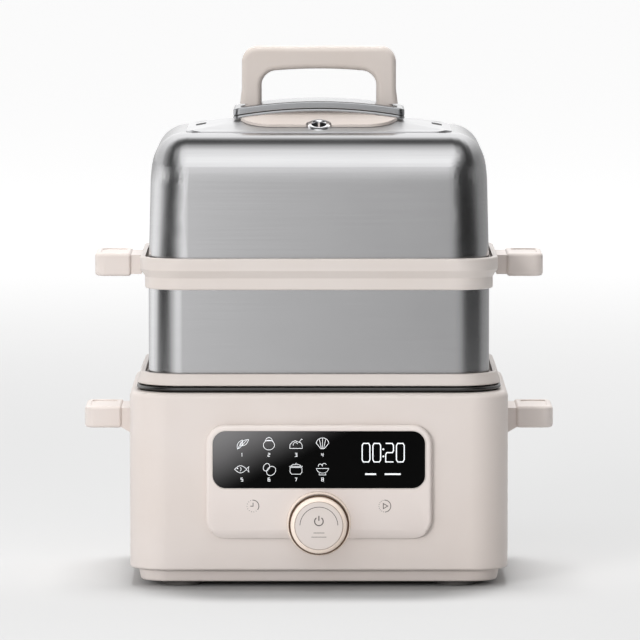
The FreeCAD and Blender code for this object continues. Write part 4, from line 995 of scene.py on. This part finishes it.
def buildTouchMarks():
    marks = Marks(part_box("control_panel")[0][1] / mm)
    z, radius, line = touch["level"], touch["radius"], touch["line"]
    for x, start, end in (touch["clock"], touch["play"]):
        marks.stroke(arc((x, z), radius, start, end, 20), line)
        for k in range(touch["dots"]):
            angle = math.radians(end + (360 - end + start) * (k + 0.7) / (touch["dots"] + 0.4))
            marks.disc((x + radius * math.cos(angle), z + radius * math.sin(angle)), line * 0.5, 10)
    x = touch["clock"][0]
    marks.stroke([(x + 0.1, z + 2.6), (x + 0.1, z - 0.1), (x - 2.0, z - 0.1)], line)
    x = touch["play"][0]
    marks.stroke([(x - 1.2, z + 2.0), (x - 1.2, z - 2.0), (x + 2.2, z)], line, True)
    marks.finish("touchMarks", darkPrint, "base", "foot_rubber")


knobFace = {"arcRadius": 14.6, "arcLine": 0.5, "signRadius": 3.3, "signLine": 0.85, "signUp": 3.6,
            "rules": ((-5.4, 8.4), (-8.6, 11.6)), "ruleLine": 0.4, "ringRadius": 18.45, "ringLine": 0.36,
            "ringDeep": 0.72}


def buildKnobMarks():
    front = knob["shift"] - knob["capFront"]
    level = knob["level"]
    marks = Marks(front)
    marks.stroke(arc((0, level), knobFace["arcRadius"], 2, 178, 48), knobFace["arcLine"])
    up, radius, line = level + knobFace["signUp"], knobFace["signRadius"], knobFace["signLine"]
    marks.stroke(arc((0, up), radius, -235, 55, 24), line)
    marks.stroke([(0, up + radius + 1.0), (0, up + 0.4)], line)
    for drop, width in knobFace["rules"]:
        marks.stroke([(-width / 2, level + drop), (width / 2, level + drop)], knobFace["ruleLine"])
    marks.finish("knobMarks", darkPrint, "knob", "foot_rubber")
    # painted shade: a darker cream line laid in the bottom of the cap's groove
    ring = Marks(front + knobFace["ringDeep"])
    ring.stroke(oval((0, level), knobFace["ringRadius"], steps=96), knobFace["ringLine"], True)
    ring.finish("knobLine", grooveLineShade, "knob", "knob_metal")


buildDisplay()
buildTouchMarks()
buildKnobMarks()
print("marks made")


# bright moulded rim round the display

rim = {"corner": 10.0, "sunk": 0.02,
       "profile": ((0.15, 0.0), (0.15, 0.28), (0.4, 0.36), (0.7, 0.28), (1.0, 0.0))}


def buildGlassRim():
    low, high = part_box("display_glass")
    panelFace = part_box("control_panel")[0][1]
    width, tall = (high[0] - low[0]) / mm, (high[2] - low[2]) / mm
    middleX, middleZ = (low[0] + high[0]) / 2, (low[2] + high[2]) / 2
    work = bmesh.new()
    rings = []
    for grow, rise in rim["profile"]:
        out = panelFace - (rise - rim["sunk"]) * mm
        plan = ringPoints(width + 2 * grow, tall + 2 * grow, rim["corner"] + grow, 12)
        rings.append([work.verts.new((middleX + x * mm, out, middleZ + z * mm)) for x, z in plan])
    bridged(work, rings + rings[:1])
    adds(smoothed(made("displayRim", work, paleRim)), "base")


buildGlassRim()


# steam outlet: a polished collar that leans to the front, with a bar across two dark holes; their dark is a
# cup in painted shade

outlet = {"lean": 24.0, "radius": 9.4, "hole": 5.2, "deep": 2.4, "foot": 4.4, "drop": 1.2,
          "bar": (1.5, 10.4, 1.6), "barRound": 0.35, "barDown": 0.9}


def buildOutlet():
    low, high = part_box("vent_eyelet")
    lean = math.radians(outlet["lean"])
    out = Vector((0, -math.sin(lean), math.cos(lean)))
    edge, hole, deep, foot = (outlet[name] for name in ("radius", "hole", "deep", "foot"))
    level = high[2] - (edge * math.sin(lean) + outlet["drop"]) * mm
    centre = Vector(((low[0] + high[0]) / 2, (low[1] + high[1]) / 2, level))
    bore = hole * 0.98
    work = turned([(bore, -deep), (hole, -0.3), (hole + 0.3, 0.5), (hole + 0.9, 1.0), (edge - 1.6, 0.9),
                   (edge - 0.5, 0.3), (edge, -0.6), (edge - 0.4, -1.3), (edge - 1.6, -2.0),
                   (edge - 2.2, -foot), (bore, -foot), (bore, -deep)], 64, centre, out)
    stands(smoothed(made("steamOutlet", work, chrome)), "vent_eyelet")
    # a cup in painted shade inside the collar stands in for the dark of the hole
    work = turned([(0, -deep), (hole, -deep), (hole, 0.2 - foot), (0, 0.2 - foot)], 48, centre, out)
    adds(smoothed(made("outletWell", work, paintedHoleShade)), "lid")
    work = bmesh.new()
    bmesh.ops.create_cube(work, size=mm)
    bmesh.ops.scale(work, vec=outlet["bar"], verts=work.verts)
    bmesh.ops.bevel(work, geom=work.edges[:], offset=outlet["barRound"] * mm, segments=2, affect="EDGES")
    turn = Matrix.Translation(centre - out * outlet["barDown"] * mm) @ Matrix.Rotation(lean, 4, "X")
    bmesh.ops.transform(work, matrix=turn, verts=work.verts)
    adds(smoothed(made("outletBar", work, chrome)), "lid")


buildOutlet()
print("outlet made")


# feet and screws repeat one shape on the CAD node's own spots

def buildRepeatTree():
    tree, sockets, asked = geometryGroup("repeatOnSpots", (
        ("Geometry", "Geometry"), ("Shape", "Object"), ("Finish", "Material")))
    shape = linked(tree, "ObjectInfo", Object=asked["Shape"])
    spots = linked(tree, "InstanceOnPoints", Points=asked["Geometry"], Instance=shape.outputs["Geometry"])
    real = linked(tree, "RealizeInstances", Geometry=spots.outputs[0])
    finish = linked(tree, "SetMaterial", Geometry=real.outputs[0], Material=asked["Finish"])
    wire(tree, finish.outputs[0], tree.nodes.new("NodeGroupOutput").inputs[0])
    return tree, sockets


repeatGroup = buildRepeatTree()


def repeated(name, node, shape, boxes, material):
    mesh = bpy.data.meshes.new(name)
    mesh.from_pydata([((low.x + high.x) / 2, (low.y + high.y) / 2, low.z) for low, high in boxes], [], [])
    piece = newPiece(name, mesh, material)
    patterned(piece, repeatGroup, {"Shape": shape, "Finish": material})
    bpy.data.objects.remove(shape)
    stands(smoothed(piece), node)


def buildFeet():
    boxes = islands("rubber_feet")
    low, high = boxes[0]
    edge, tall = (high.x - low.x) / 2 / mm, (high.z - low.z) / mm
    work = turned([(0, 0), (edge * 0.42, 0), (edge * 0.46, 0.5), (edge * 0.54, 0.5), (edge * 0.58, 0),
                   (edge - 1.0, 0), (edge - 0.3, 0.3), (edge, 1.0), (edge, tall - 0.2), (edge - 0.2, tall),
                   (0, tall)], 64)
    repeated("rubberFeet", "rubber_feet", made("footShape", work, footRubber), boxes, footRubber)


# head radius, shank radius and head height of each kind, and the half sizes of the cross in the head
screw = {"kinds": {"base_screws": (3.4, 1.7, 2.4), "lid_screws": (4.3, 1.9, 3.0)}, "long": 1.3, "half": 0.375,
         "deep": 1.1, "taper": 0.8}


def crossScrew(name, radius, shank, headTall, length):
    work = turned([(radius * 0.72, 0), (radius * 0.92, 0.18 * headTall), (radius, 0.5 * headTall),
                   (radius, headTall), (shank, headTall), (shank, length - 0.6), (shank * 0.6, length),
                   (0, length)], 40)
    rimEdges = [edge for edge in work.edges if edge.is_boundary]
    long, half = screw["long"] * mm, screw["half"] * mm
    corners = [(half, half), (half, long), (-half, long), (-half, half), (-long, half), (-long, -half),
               (-half, -half), (-half, -long), (half, -long), (half, -half), (long, -half), (long, half)]
    top = [work.verts.new((x, y, 0)) for x, y in corners]
    cross = [work.edges.new((vert, after)) for vert, after in zip(top, top[1:] + top[:1])]
    filled = bmesh.ops.triangle_fill(work, edges=rimEdges + cross, use_beauty=True, use_dissolve=False)
    inner = [item for item in filled["geom"] if isinstance(item, bmesh.types.BMFace)
             and all(vert in top for vert in item.verts)]
    bmesh.ops.delete(work, geom=inner, context="FACES_ONLY")
    taper, deep = screw["taper"], screw["deep"] * mm
    bottom = [work.verts.new((x * taper, y * taper, deep)) for x, y in corners]
    bridged(work, [top, bottom])
    work.faces.new(bottom)
    return made(name, work, screwMetal)


def buildScrews():
    for node, (head, shank, headTall) in screw["kinds"].items():
        boxes = islands(node)
        low, high = boxes[0]
        radius = min(head, (high.x - low.x) / 2 / mm)
        shape = crossScrew(node + "Shape", radius, shank, headTall, (high.z - low.z) / mm)
        repeated(node.replace("_s", "S"), node, shape, boxes, screwMetal)


buildFeet()
buildScrews()
print("feet and screws made")
